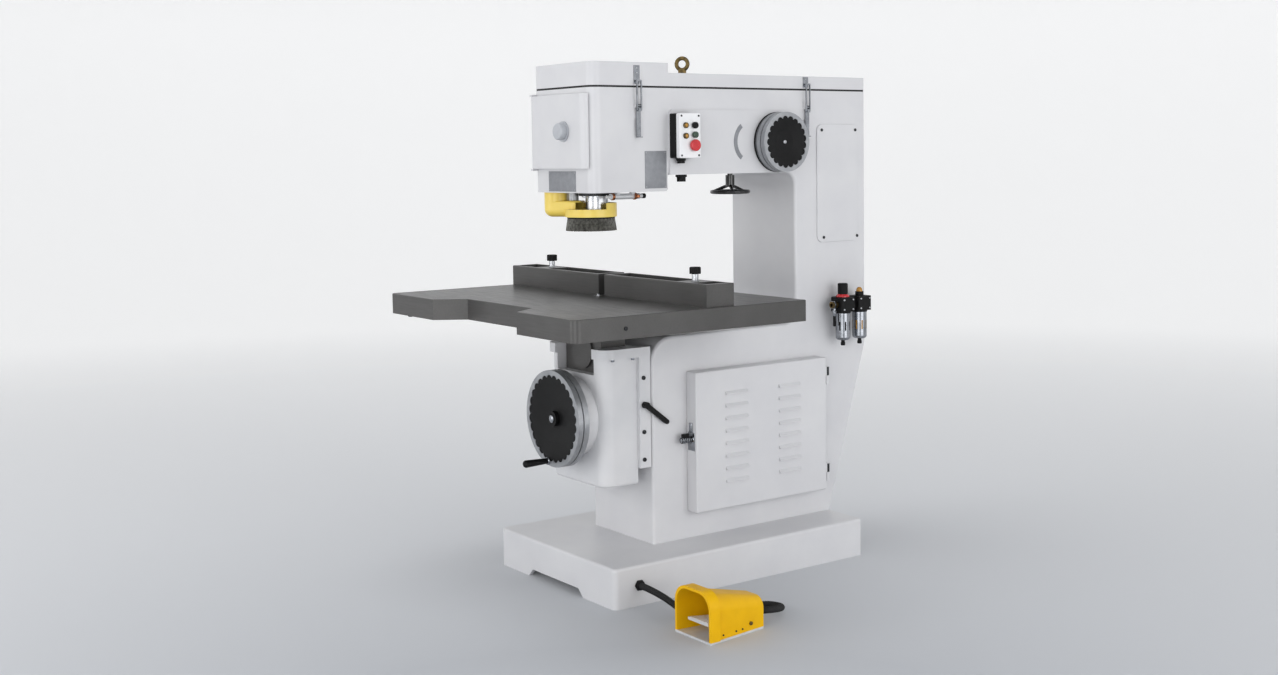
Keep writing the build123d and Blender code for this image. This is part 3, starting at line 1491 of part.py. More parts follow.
with BuildPart() as air_bowls:
    for middle in (air_front, air_rear):
        post(air_x, middle, air_body_bottom - bowl_height, air_body_bottom, bowl_radius)
    fillet(air_bowls.faces().group_by(Axis.Z)[0].edges(), 10)
    for middle in (air_front, air_rear):
        with BuildSketch(Plane.XY.offset(air_body_bottom - bowl_height / 2 - bowl_slot_height / 2)):
            with Locations((air_x, middle)):
                with PolarLocations(bowl_radius, bowl_slots, start_angle=22.5):
                    Rectangle(4, bowl_slot)
        extrude(amount=bowl_slot_height, mode=Mode.SUBTRACT)
        post(air_x, middle, air_body_bottom - bowl_height - 18, air_body_bottom - bowl_height, 6)
air_bowls.part.label = "air_bowls"
export_step(air_bowls.part, "parts/air_bowls.step")

with BuildPart() as regulator_knob:
    post(air_x, air_front, air_top + slide_gap, air_top + regulator_height, regulator_radius)
    fillet(regulator_knob.faces().sort_by(Axis.Z)[-1].edges(), 4)
    post(air_x, air_front, air_top - 11, air_top + 2, 8)
regulator_knob.part.label = "regulator_knob"
export_step(regulator_knob.part, "parts/regulator_knob.step")

inlet_mouth = air_front - air_body_half - 22
inlet_z = air_body_bottom + air_body_height / 2
with BuildPart() as air_inlet:
    bar_y(inlet_mouth, air_front - air_body_half, air_x, inlet_z, 11)
    bar_y(inlet_mouth - 1, inlet_mouth + air_port_depth, air_x, inlet_z, air_port_radius, mode=Mode.SUBTRACT)
air_inlet.part.label = "air_inlet"
export_step(air_inlet.part, "parts/air_inlet.step")

# Foot pedal: base plate with hinge ears, guard shell and treadle
pedal_rear = pedal_front + pedal_length
with BuildPart() as pedal_base:
    with BuildSketch(Plane.XY):
        with BuildLine():
            Polyline(
                (pedal_x - pedal_front_half - pedal_collar_proud, pedal_front),
                (pedal_x + pedal_front_half + pedal_collar_proud, pedal_front),
                (pedal_x + pedal_rear_half, pedal_rear), (pedal_x - pedal_rear_half, pedal_rear),
                close=True,
            )
        make_face()
    extrude(amount=pedal_plate)
    for side in (-1, 1):
        ear = pedal_x + side * (treadle_half - 4)
        block(
            ear - 2.5, ear + 2.5, treadle_pin_y - 9, treadle_pin_y + 9,
            pedal_plate, treadle_pin_z + 8,
        )
    bar_x(
        pedal_x - treadle_half + 2, pedal_x + treadle_half - 2, treadle_pin_y, treadle_pin_z, treadle_pin,
    )
pedal_base.part.label = "pedal_base"
export_step(pedal_base.part, "parts/pedal_base.step")

with BuildPart() as pedal_guard:
    for plane_y, half, high in (
        (pedal_front, pedal_front_half, pedal_front_height),
        (pedal_rear, pedal_rear_half, pedal_rear_height),
    ):
        with BuildSketch(Plane.XZ.offset(-plane_y)) as arch:
            with Locations((pedal_x, (pedal_plate + high) / 2)):
                Rectangle(2 * half, high - pedal_plate)
            fillet(arch.vertices().group_by(Axis.Y)[-1], 0.6 * half)
    loft()
    with BuildSketch(Plane.XZ.offset(-pedal_front)) as collar:
        with Locations((pedal_x, (pedal_plate + pedal_front_height + pedal_collar_proud) / 2)):
            Rectangle(
                2 * (pedal_front_half + pedal_collar_proud),
                pedal_front_height + pedal_collar_proud - pedal_plate,
            )
        fillet(collar.vertices().group_by(Axis.Y)[-1], 0.6 * (pedal_front_half + pedal_collar_proud))
    extrude(amount=-pedal_collar)
    for plane_y, half, high in (
        (pedal_front - 1, pedal_front_half - pedal_wall, pedal_front_height - pedal_wall),
        (pedal_rear - pedal_wall, pedal_rear_half - pedal_wall, pedal_rear_height - pedal_wall),
    ):
        with BuildSketch(Plane.XZ.offset(-plane_y)) as arch:
            with Locations((pedal_x, (pedal_plate + high) / 2)):
                Rectangle(2 * half, high - pedal_plate)
            fillet(arch.vertices().group_by(Axis.Y)[-1], 0.6 * half)
    loft(mode=Mode.SUBTRACT)
    bar_y(
        pedal_rear - 20, pedal_rear + 1, hose_port_x, hose_port_z, hose_radius + slide_gap,
        mode=Mode.SUBTRACT,
    )
pedal_guard.part.label = "pedal_guard"
export_step(pedal_guard.part, "parts/pedal_guard.step")

treadle_rise = math.tan(math.radians(treadle_swing)) * treadle_length
plate_half = treadle_half - 4 - 2.5 - slide_gap
with BuildPart() as treadle:
    with BuildSketch(Plane.YZ.offset(pedal_x - plate_half)):
        with BuildLine():
            Polyline(
                (treadle_pin_y, treadle_pin_z - 4), (treadle_pin_y, treadle_pin_z + 4),
                (treadle_pin_y - treadle_length, treadle_pin_z + treadle_rise + 4),
                (treadle_pin_y - treadle_length, treadle_pin_z + treadle_rise - 4),
                close=True,
            )
        make_face()
    extrude(amount=2 * plate_half)
    bar_x(pedal_x - plate_half, pedal_x + plate_half, treadle_pin_y, treadle_pin_z, treadle_pin + 5)
    bar_x(
        pedal_x - treadle_half, pedal_x + treadle_half, treadle_pin_y, treadle_pin_z,
        treadle_pin + running_fit, mode=Mode.SUBTRACT,
    )
treadle.part.label = "treadle"
export_step(treadle.part, "parts/treadle.step")

# Ribbed air hose: straight runs joined by tangent arcs
floor_run = hose_radius + 1
hose_points = (
    (half_base_x - base_wall / 2, hose_exit_y, hose_exit_z),
    (420, hose_exit_y, hose_exit_z),
    (505, -375, floor_run),
    (550, -300, floor_run),
    (550, -130, floor_run),
    (hose_port_x, -130, floor_run + 14),
    (hose_port_x, pedal_rear - 2, hose_port_z),
)
hose_corners = [Vector(*point) for point in hose_points]
hose_bends = []
for before, corner, after in zip(hose_corners, hose_corners[1:], hose_corners[2:]):
    turn = (corner - before).get_angle(after - corner)
    shorter = min((corner - before).length, (after - corner).length)
    hose_bends.append(0.45 * shorter / math.tan(math.radians(turn) / 2))
print("hose bend radii", [round(bend, 1) for bend in hose_bends])
with BuildPart() as air_hose:
    with BuildLine() as hose_path:
        FilletPolyline(*hose_points, radius=hose_bends)
    hose_line = hose_path.wire()
    hose_length = hose_line.length
    hose_ribs = int((hose_length - 4 * hose_radius) / hose_pitch)
    cuff = (hose_length - hose_ribs * hose_pitch) / 2
    stations = [(0, hose_radius), (cuff - 2, hose_radius)]
    for rib in range(hose_ribs):
        for share, size in ((0, -hose_rib), (0.25, 0), (0.6, 0), (0.85, -hose_rib)):
            stations.append((cuff + (rib + share) * hose_pitch, hose_radius + size))
    stations.extend([(hose_length - cuff + 2, hose_radius), (hose_length, hose_radius)])
    steady = Vector(0, 0, 1)
    for along, size in stations:
        place = hose_line.position_at(along, position_mode=PositionMode.LENGTH)
        heading = hose_line.tangent_at(along, position_mode=PositionMode.LENGTH)
        across = steady - heading * steady.dot(heading)
        with BuildSketch(Plane(origin=place, x_dir=across, z_dir=heading)):
            Circle(size)
    loft(ruled=True)
    with BuildSketch(Plane(origin=hose_line.position_at(0), z_dir=hose_line.tangent_at(0))):
        Circle(hose_bore)
    sweep(path=hose_line, mode=Mode.SUBTRACT)
print("hose ribs", hose_ribs, "length", round(hose_length, 1), "volume", round(air_hose.part.volume))
air_hose.part.label = "air_hose"
export_step(air_hose.part, "parts/air_hose.step")
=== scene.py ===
import math
import random

import bmesh
import bpy
from mathutils import Matrix, Vector


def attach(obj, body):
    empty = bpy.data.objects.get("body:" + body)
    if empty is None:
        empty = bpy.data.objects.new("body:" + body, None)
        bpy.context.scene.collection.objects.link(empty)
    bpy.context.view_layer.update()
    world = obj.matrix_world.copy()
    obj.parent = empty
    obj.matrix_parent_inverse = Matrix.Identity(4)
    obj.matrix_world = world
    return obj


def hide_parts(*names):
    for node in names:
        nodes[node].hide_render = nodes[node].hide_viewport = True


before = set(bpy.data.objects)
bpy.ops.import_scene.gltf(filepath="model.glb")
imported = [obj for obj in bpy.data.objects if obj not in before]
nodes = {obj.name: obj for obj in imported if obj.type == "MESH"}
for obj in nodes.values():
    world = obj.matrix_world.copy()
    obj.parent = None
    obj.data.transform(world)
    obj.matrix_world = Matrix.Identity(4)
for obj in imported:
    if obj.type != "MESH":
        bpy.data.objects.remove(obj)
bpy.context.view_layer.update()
bpy.context.scene.view_settings.view_transform = "Standard"
print("frame loaded", len(nodes), "nodes")


def mm(x, y, z):
    return Vector((x, y, z)) / 1000


def linear(hexValue):
    # sRGB hex to the linear colour that a shader takes
    parts = [int(hexValue[i:i + 2], 16) / 255 for i in (1, 3, 5)]
    return [p / 12.92 if p <= 0.04045 else ((p + 0.055) / 1.055) ** 2.4 for p in parts] + [1.0]


def addNode(tree, kind, inputs, **settings):
    node = tree.nodes.new(kind)
    for name, value in settings.items():
        setattr(node, name, value)
    for name, value in inputs.items():
        if isinstance(value, bpy.types.NodeSocket):
            tree.links.new(value, node.inputs[name])
        else:
            node.inputs[name].default_value = value
    return node


def perMetre(millimetres):
    # texture scale for a pattern of that size
    return 1000 / millimetres


# Settings that every finish shares
surface = {
    "cloudDetail": 4.0, "cloudRoughness": 0.55, "cloudBand": (0.32, 0.68),
    "grainDetail": 3.0, "grainRoughness": 0.6, "fleckBand": (0.35, 0.7), "patchBand": (0.3, 0.7),
    "bumpShare": 0.25, "coatRoughness": 0.12,
}
# Shader inputs that only some finishes set
shaderInputs = {
    "metallic": "Metallic", "ior": "IOR", "specular": "Specular IOR Level",
    "coat": "Coat Weight", "transmission": "Transmission Weight",
}


def makeMaterial(look):
    # shared build: a cloudy colour, a rougher and smoother patchwork, and a fine bump
    material = bpy.data.materials.new(look["name"])
    material.use_nodes = True
    tree = material.node_tree
    shader = tree.nodes["Principled BSDF"]
    place = addNode(tree, "ShaderNodeTexCoord", {})
    mapping = addNode(tree, "ShaderNodeMapping", {
        "Vector": place.outputs["Object"], "Scale": look.get("stretch", (1, 1, 1)),
    })
    clouds = addNode(tree, "ShaderNodeTexNoise", {
        "Vector": place.outputs["Object"], "Scale": perMetre(look["cloudMm"]),
        "Detail": surface["cloudDetail"], "Roughness": surface["cloudRoughness"],
    })
    tint = addNode(tree, "ShaderNodeValToRGB", {"Fac": clouds.outputs["Fac"]})
    for stop, position, key in zip(tint.color_ramp.elements, surface["cloudBand"], ("dark", "colour")):
        stop.position = position
        stop.color = linear(look[key])
    colourOut = tint.outputs["Color"]
    grain = addNode(tree, "ShaderNodeTexNoise", {
        "Vector": mapping.outputs["Vector"], "Scale": perMetre(look["grainMm"]),
        "Detail": surface["grainDetail"], "Roughness": surface["grainRoughness"],
    })
    if "grainTint" in look:
        # grit that shows as specks or strokes of colour
        low, high = surface["fleckBand"]
        flecks = addNode(tree, "ShaderNodeMapRange", {
            "Value": grain.outputs["Fac"], "From Min": low, "From Max": high,
            "To Min": 0.0, "To Max": look["grainTint"],
        })
        mixed = addNode(
            tree, "ShaderNodeMix", {"Factor": flecks.outputs["Result"]},
            data_type="RGBA", blend_type="MULTIPLY",
        )
        tree.links.new(colourOut, mixed.inputs["A"])
        mixed.inputs["B"].default_value = linear(look["dark"])
        colourOut = mixed.outputs["Result"]
    tree.links.new(colourOut, shader.inputs["Base Color"])
    low, high = surface["patchBand"]
    smooth, rough = look["roughness"]
    patches = addNode(tree, "ShaderNodeMapRange", {
        "Value": grain.outputs["Fac"], "From Min": low, "From Max": high, "To Min": smooth, "To Max": rough,
    })
    tree.links.new(patches.outputs["Result"], shader.inputs["Roughness"])
    bump = addNode(tree, "ShaderNodeBump", {
        "Height": grain.outputs["Fac"], "Strength": look["bump"],
        "Distance": look["grainMm"] * surface["bumpShare"] / 1000,
    })
    tree.links.new(bump.outputs["Normal"], shader.inputs["Normal"])
    for key, socket in shaderInputs.items():
        if key in look:
            shader.inputs[socket].default_value = look[key]
    if "coat" in look:
        shader.inputs["Coat Roughness"].default_value = surface["coatRoughness"]
    material.diffuse_color = linear(look["colour"])
    return material


# Finishes of this machine, each from the real one. Tool marks, mould grain and brushed strokes are finer
# than the render can show, so grainMm draws them coarser.
looks = {
    # sprayed enamel: faint orange peel, soft gloss
    "bodyEnamel": {
        "name": "pale grey sprayed enamel", "colour": "#d6d6d8", "dark": "#d0d0d3",
        "grainMm": 2.6, "cloudMm": 160, "roughness": (0.34, 0.44), "bump": 0.05, "ior": 1.5, "coat": 0.15,
    },
    # enamel over rough iron: the casting's texture shows through
    "kneeEnamel": {
        "name": "pale grey enamel on cast iron", "colour": "#d7d7d9", "dark": "#cecfd2",
        "grainMm": 4.0, "cloudMm": 160, "roughness": (0.38, 0.5), "bump": 0.12, "ior": 1.5, "coat": 0.1,
    },
    # ground iron: dark grey with long fine strokes from the grinder
    "groundIron": {
        "name": "ground cast iron", "colour": "#565554", "dark": "#504f4e",
        "grainMm": 4.0, "cloudMm": 120, "stretch": (0.05, 1.0, 1.0), "roughness": (0.3, 0.42), "bump": 0.02,
        "metallic": 0.35, "specular": 0.35, "grainTint": 0.1,
    },
    # left as cast and oiled: dark, grainy, with a dull sheen
    "castIron": {
        "name": "oiled cast iron", "colour": "#57595c", "dark": "#434548",
        "grainMm": 3.0, "cloudMm": 60, "roughness": (0.42, 0.6), "bump": 0.2,
        "metallic": 0.6, "grainTint": 0.3,
    },
    # turned and left bright: fine rings, clear reflections
    "turnedSteel": {
        "name": "turned bright steel", "colour": "#c3c5c8", "dark": "#aeb0b4",
        "grainMm": 1.6, "cloudMm": 40, "stretch": (0.2, 0.2, 1.0), "roughness": (0.2, 0.36), "bump": 0.08,
        "metallic": 1.0,
    },
    # blackened in a bath: dark, with a dull metal glint
    "blackSteel": {
        "name": "blackened steel", "colour": "#3a3b3d", "dark": "#2b2c2e",
        "grainMm": 1.5, "cloudMm": 160, "roughness": (0.35, 0.5), "bump": 0.08, "metallic": 0.8,
    },
    # turned and bare: mid grey, soft reflections
    "turnedAluminium": {
        "name": "turned aluminium", "colour": "#a9abae", "dark": "#97999d",
        "grainMm": 1.8, "cloudMm": 30, "roughness": (0.34, 0.48), "bump": 0.06, "metallic": 0.7,
    },
    # plated: smooth, with sharp reflections
    "platedSteel": {
        "name": "zinc and chrome plated steel", "colour": "#a3a6ab", "dark": "#85888d",
        "grainMm": 1.2, "cloudMm": 25, "roughness": (0.16, 0.28), "bump": 0.02, "metallic": 1.0,
    },
    # anodised: pale, even and satin
    "satinAluminium": {
        "name": "satin anodised aluminium", "colour": "#dcdee0", "dark": "#d0d2d5",
        "grainMm": 1.4, "cloudMm": 30, "roughness": (0.36, 0.5), "bump": 0.04, "metallic": 0.35,
    },
    # old brass: brown tarnish in clouds over yellow metal
    "agedBrass": {
        "name": "aged brass", "colour": "#8a754a", "dark": "#4f4533",
        "grainMm": 2.2, "cloudMm": 14, "roughness": (0.28, 0.45), "bump": 0.1, "metallic": 1.0,
    },
    # copper: warm red metal, a little dull
    "copperFitting": {
        "name": "copper fitting", "colour": "#b97a56", "dark": "#8d5a40",
        "grainMm": 1.5, "cloudMm": 12, "roughness": (0.25, 0.4), "bump": 0.05, "metallic": 1.0,
    },
    # gloss enamel on the hood: smooth pale yellow
    "yellowEnamel": {
        "name": "yellow gloss enamel", "colour": "#f3d869", "dark": "#edcf5c",
        "grainMm": 2.4, "cloudMm": 70, "roughness": (0.3, 0.4), "bump": 0.05, "ior": 1.48, "coat": 0.15,
    },
    # enamel on pressed steel: deep yellow, softer gloss
    "pedalEnamel": {
        "name": "deep yellow enamel on pressed steel", "colour": "#edb803", "dark": "#e5af00",
        "grainMm": 3.2, "cloudMm": 60, "roughness": (0.38, 0.5), "bump": 0.08, "ior": 1.42, "specular": 0.25,
    },
    # moulded nylon: matt black, faint spark-eroded grain
    "blackNylon": {
        "name": "moulded black nylon", "colour": "#0d0d0e", "dark": "#080809",
        "grainMm": 1.4, "cloudMm": 40, "roughness": (0.5, 0.66), "bump": 0.14, "ior": 1.42, "specular": 0.3,
    },
    # gloss enamel: black with clear highlights
    "blackEnamel": {
        "name": "gloss black enamel", "colour": "#151516", "dark": "#0f0f10",
        "grainMm": 2.0, "cloudMm": 40, "roughness": (0.16, 0.28), "bump": 0.04, "ior": 1.5, "coat": 0.4,
    },
    # moulded ABS: even white, soft sheen
    "whiteAbs": {
        "name": "moulded white ABS", "colour": "#f1f2f3", "dark": "#e9eaec",
        "grainMm": 1.4, "cloudMm": 50, "roughness": (0.35, 0.45), "bump": 0.05, "ior": 1.52,
    },
    # moulded ABS: even grey, soft sheen
    "greyAbs": {
        "name": "moulded grey ABS", "colour": "#b9bcc1", "dark": "#adb0b6",
        "grainMm": 1.4, "cloudMm": 40, "roughness": (0.35, 0.45), "bump": 0.06, "ior": 1.52,
    },
    # ABS from a polished mould: glossy red
    "redAbs": {
        "name": "moulded red ABS", "colour": "#d2232b", "dark": "#bd1c24",
        "grainMm": 1.2, "cloudMm": 20, "roughness": (0.2, 0.3), "bump": 0.03, "ior": 1.52, "coat": 0.3,
    },
    # ABS from a polished mould: glossy dark green
    "greenAbs": {
        "name": "moulded dark green ABS", "colour": "#2e4a36", "dark": "#253c2c",
        "grainMm": 1.2, "cloudMm": 20, "roughness": (0.22, 0.32), "bump": 0.03, "ior": 1.52, "coat": 0.2,
    },
    # moulded rubber: dull black, fine grain
    "rubber": {
        "name": "black rubber", "colour": "#1a1a1b", "dark": "#131314",
        "grainMm": 1.6, "cloudMm": 30, "roughness": (0.6, 0.75), "bump": 0.12, "ior": 1.52,
    },
    # clear moulded plastic: amber that lets some light through
    "amberLens": {
        "name": "amber lens", "colour": "#d9a24a", "dark": "#c58d38",
        "grainMm": 1.2, "cloudMm": 10, "roughness": (0.08, 0.16), "bump": 0.02,
        "ior": 1.5, "transmission": 0.35,
    },
    # drawn nylon strands: dark, streaked with pale along their length; the pale is a painted sheen on black
    # nylon
    "bristleNylon": {
        "name": "black nylon bristle with painted sheen", "colour": "#85847d", "dark": "#3a3935",
        "grainMm": 3.0, "cloudMm": 7, "stretch": (1, 1, 0.08), "roughness": (0.45, 0.65), "bump": 0.1,
        "ior": 1.53,
    },
    # etched plate: bare, fine brushed strokes
    "barePlate": {
        "name": "bare etched aluminium plate", "colour": "#95979b", "dark": "#898b90",
        "grainMm": 2.0, "cloudMm": 18, "stretch": (1, 1, 8), "roughness": (0.5, 0.65), "bump": 0.05,
        "metallic": 0.35, "grainTint": 0.12,
    },
}
mats = {key: makeMaterial(look) for key, look in looks.items()}
print("finishes", len(mats))

nodeFinish = {
    "bodyEnamel": ("base", "column_frame", "side_cover", "lid", "front_cover", "door", "motor"),
    "kneeEnamel": ("knee",),
    "groundIron": ("table", "left_fence", "right_fence"),
    "castIron": ("column_way", "bearing_bridge", "motor_carriage"),
    "turnedSteel": ("quill", "spindle_bearings", "spindle", "collet_nut", "lift_screw", "guide_pin"),
    "blackSteel": ("quill_guide",),
    "satinAluminium": ("spindle_lock", "pedal_base", "treadle"),
    "turnedAluminium": ("feed_cylinder", "spindle_pulley", "motor_pulley", "tension_wheel", "front_wheel"),
    "platedSteel": (
        "latch_keepers", "front_latch_lever", "rear_latch_lever", "front_latch_bail", "rear_latch_bail",
        "air_bowls",
    ),
    "agedBrass": ("eye_bolt", "air_inlet"),
    "yellowEnamel": ("dust_hood",),
    "pedalEnamel": ("pedal_guard",),
    "blackNylon": (
        "tension_dish", "door_latch", "control_box", "start_button", "front_dish", "crank_handle",
        "knee_clamp", "left_fence_knob", "right_fence_knob", "air_unit", "regulator_knob",
    ),
    "blackEnamel": ("lock_wheel",),
    "whiteAbs": ("control_panel",),
    "greyAbs": ("cover_knob", "electrics_panel"),
    "redAbs": ("emergency_stop",),
    "greenAbs": ("stop_button",),
    "rubber": ("lid_seal", "drive_belt", "air_hose"),
    "bristleNylon": ("brush_skirt",),
}
for key, names in nodeFinish.items():
    for name in names:
        slots = nodes[name].data.materials
        slots.clear()
        slots.append(mats[key])

# Settings and a helper that every scene piece shares
sharpAngle = math.radians(32)
mergeDistance = 1e-6


def finishPiece(name, bm, finish, body):
    bmesh.ops.recalc_face_normals(bm, faces=bm.faces)
    mesh = bpy.data.meshes.new(name)
    bm.to_mesh(mesh)
    bm.free()
    mesh.materials.append(mats[finish])
    piece = bpy.data.objects.new(name, mesh)
    bpy.context.scene.collection.objects.link(piece)
    mesh.polygons.foreach_set("use_smooth", [True] * len(mesh.polygons))
    mesh.set_sharp_from_angle(angle=sharpAngle)
    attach(piece, body)
    return piece


def alongAxis(place, axis):
    # turns local Z to the axis and moves to the place
    return Matrix.Translation(place) @ Vector(axis).to_track_quat("Z", "Y").to_matrix().to_4x4()


def softenEdges(bm, edges, offset):
    bmesh.ops.bevel(bm, geom=list(edges), offset=offset, affect="EDGES", segments=2, profile=0.5, material=-1)


def addRod(bm, start, end, radius, endRadius=None, sides=28, soften=0.0):
    # round bar between two points, its rims softened
    axis = end - start
    made = bmesh.ops.create_cone(
        bm, cap_ends=True, segments=sides, radius1=radius, radius2=radius if endRadius is None else endRadius,
        depth=axis.length, matrix=alongAxis((start + end) / 2, axis),
    )
    if soften:
        rims = {e for v in made["verts"] for e in v.link_edges if any(len(f.verts) > 4 for f in e.link_faces)}
        softenEdges(bm, rims, soften)


def addBlock(bm, place, size, soften):
    # box of that size on a placed matrix, its edges softened
    made = bmesh.ops.create_cube(bm, size=1.0, matrix=place @ Matrix.Diagonal((*size, 1.0)))
    softenEdges(bm, {e for v in made["verts"] for e in v.link_edges}, soften)


def addSlab(bm, low, high, soften):
    # box between two corners
    addBlock(bm, Matrix.Translation((low + high) / 2), high - low, soften)


def addTurned(bm, profile, place, axis, steps=48, closed=True):
    # profile of (radius, height) in mm, turned round an axis
    before = set(bm.verts)
    turn = alongAxis(place, axis)
    line = [bm.verts.new(turn @ (Vector((radius, 0, height)) / 1000)) for radius, height in profile]
    edges = [bm.edges.new(pair) for pair in zip(line, line[1:] + line[:1] if closed else line[1:])]
    bmesh.ops.spin(
        bm, geom=line + edges, cent=place, axis=turn.to_3x3() @ Vector((0, 0, 1)),
        angle=2 * math.pi, steps=steps, use_merge=True,
    )
    bmesh.ops.remove_doubles(bm, verts=[v for v in bm.verts if v not in before], dist=mergeDistance)


def addArc(bm, corners, pivot, axis, sweepAngle, steps):
    # four corners swept round a pivot into a curved strip
    face = bm.faces.new([bm.verts.new(corner) for corner in corners])
    bmesh.ops.spin(
        bm, geom=[face], cent=pivot, axis=axis, angle=math.radians(sweepAngle), steps=steps, use_merge=False,
    )


# Shares of a cap screw's radius (rim, socket, lip) and of its height (seat, lift, sink)
screwHead = {
    "sides": 24, "rim": 0.18, "socketSides": 6, "socket": 0.5, "lip": 0.12,
    "seat": 0.12, "lift": 0.02, "sink": 0.1,
}


def addScrew(bm, place, axis, radius, height):
    # cap screw: softened head with a sunk socket
    axis = Vector(axis)

    def topFace(made, leastSides):
        faces = {f for v in made["verts"] for f in v.link_faces if len(f.verts) >= leastSides}
        return max(faces, key=lambda f: f.calc_center_median().dot(axis))

    head = bmesh.ops.create_cone(
        bm, cap_ends=True, segments=screwHead["sides"], radius1=radius, radius2=radius, depth=height,
        matrix=alongAxis(place + axis * height / 2, axis),
    )
    softenEdges(bm, topFace(head, screwHead["sides"]).edges, radius * screwHead["rim"])
    seat = bmesh.ops.create_cone(
        bm, cap_ends=True, segments=screwHead["socketSides"], radius1=radius * screwHead["socket"],
        radius2=radius * screwHead["socket"], depth=height * screwHead["seat"],
        matrix=alongAxis(place + axis * height * (1 + screwHead["lift"]), axis),
    )
    cap = topFace(seat, screwHead["socketSides"])
    bmesh.ops.inset_region(bm, faces=[cap], thickness=radius * screwHead["lip"])
    bmesh.ops.translate(bm, verts=cap.verts, vec=-axis * height * screwHead["sink"])


# Camera at the photograph's place: fitted to the machine's own edges
camera = {
    "place": (3.8562, -2.9243, 1.3281), "azimuth": 54.40, "tilt": 4.007, "roll": -0.794,
    "lens": 42.07, "sensor": 36, "shift": -0.0606, "reach": 60,
}
azimuth, tilt, roll = (math.radians(camera[key]) for key in ("azimuth", "tilt", "roll"))
forward = Vector((-math.sin(azimuth) * math.cos(tilt), math.cos(azimuth) * math.cos(tilt), -math.sin(tilt)))
across = Vector((math.cos(azimuth), math.sin(azimuth), 0))
upward = across.cross(forward)
right = across * math.cos(roll) + upward * math.sin(roll)
top = upward * math.cos(roll) - across * math.sin(roll)
cameraData = bpy.data.cameras.new("photoCamera")
cameraData.lens = camera["lens"]
cameraData.sensor_width = camera["sensor"]
cameraData.shift_y = camera["shift"]
cameraData.clip_end = camera["reach"]
cameraObject = bpy.data.objects.new("photoCamera", cameraData)
turn = Matrix((right, top, -forward)).transposed().to_4x4()
cameraObject.matrix_world = Matrix.Translation(camera["place"]) @ turn
bpy.context.scene.collection.objects.link(cameraObject)
bpy.context.scene.camera = cameraObject

# Pale studio floor: a wide disc that curves up all round into a bright surround; its colour is painted shade
# near the machine, lightening outwards into painted light that glows on the far floor and wall
sweep = {
    "floor": 7.0, "bend": 2.5, "bendSteps": 12, "wall": 6.0, "steps": 64, "merge": 1e-5, "roughness": 0.9,
    "paintedShadeColour": "#bfc2c7", "paintedLightColour": "#f0f0f0", "centre": (1.6, -1.3, 0.0), "fade": (1.2, 9.0),
    "ease": 0.75, "glow": 0.28,
}
bm = bmesh.new()
edge = [bm.verts.new((0, 0, 0)), bm.verts.new((sweep["floor"], 0, 0))]
bm.edges.new(edge)
bmesh.ops.spin(
    bm, geom=[edge[1]], cent=(sweep["floor"], 0, sweep["bend"]), axis=(0, -1, 0),
    angle=math.radians(90), steps=sweep["bendSteps"],
)
tip = max(bm.verts, key=lambda v: v.co.z)
wallTop = bmesh.ops.extrude_vert_indiv(bm, verts=[tip])["verts"]
bmesh.ops.translate(bm, verts=wallTop, vec=(0, 0, sweep["wall"]))
bmesh.ops.spin(
    bm, geom=bm.verts[:] + bm.edges[:], cent=(0, 0, 0), axis=(0, 0, 1),
    angle=2 * math.pi, steps=sweep["steps"], use_merge=True,
)
bmesh.ops.remove_doubles(bm, verts=bm.verts, dist=sweep["merge"])
bmesh.ops.recalc_face_normals(bm, faces=bm.faces)
if max(bm.faces, key=lambda f: f.normal.z).normal.z < 0.5:
    bmesh.ops.reverse_faces(bm, faces=bm.faces)  # the open bowl faces inwards
floorMesh = bpy.data.meshes.new("paleFloor")
bm.to_mesh(floorMesh)
bm.free()
floorMesh.polygons.foreach_set("use_smooth", [True] * len(floorMesh.polygons))
floorFinish = bpy.data.materials.new("pale studio paper")
floorFinish.use_nodes = True
floorTree = floorFinish.node_tree
floorShader = floorTree.nodes["Principled BSDF"]
floorPlace = addNode(floorTree, "ShaderNodeTexCoord", {})
floorDistance = addNode(
    floorTree, "ShaderNodeVectorMath", {0: floorPlace.outputs["Object"], 1: sweep["centre"]},
    operation="DISTANCE",
)
floorFade = addNode(floorTree, "ShaderNodeMapRange", {
    "Value": floorDistance.outputs["Value"], "From Min": sweep["fade"][0], "From Max": sweep["fade"][1],
})
floorEase = addNode(
    floorTree, "ShaderNodeMath", {0: floorFade.outputs["Result"], 1: sweep["ease"]}, operation="POWER",
)
# painted shade on the floor near the machine, lightening to a painted pale further out
floorShadeAndLight = addNode(floorTree, "ShaderNodeValToRGB", {"Fac": floorEase.outputs["Value"]})
floorShadeAndLight.color_ramp.elements[0].color = linear(sweep["paintedShadeColour"])
floorShadeAndLight.color_ramp.elements[1].color = linear(sweep["paintedLightColour"])
# the far floor and wall glow as painted light, more the further out
floorGlow = addNode(
    floorTree, "ShaderNodeMath", {0: floorEase.outputs["Value"], 1: sweep["glow"]}, operation="MULTIPLY",
)
floorTree.links.new(floorShadeAndLight.outputs["Color"], floorShader.inputs["Base Color"])
floorTree.links.new(floorShadeAndLight.outputs["Color"], floorShader.inputs["Emission Color"])
floorTree.links.new(floorGlow.outputs["Value"], floorShader.inputs["Emission Strength"])
floorShader.inputs["Roughness"].default_value = sweep["roughness"]
floorMesh.materials.append(floorFinish)
floorObject = bpy.data.objects.new("paleFloor", floorMesh)
bpy.context.scene.collection.objects.link(floorObject)

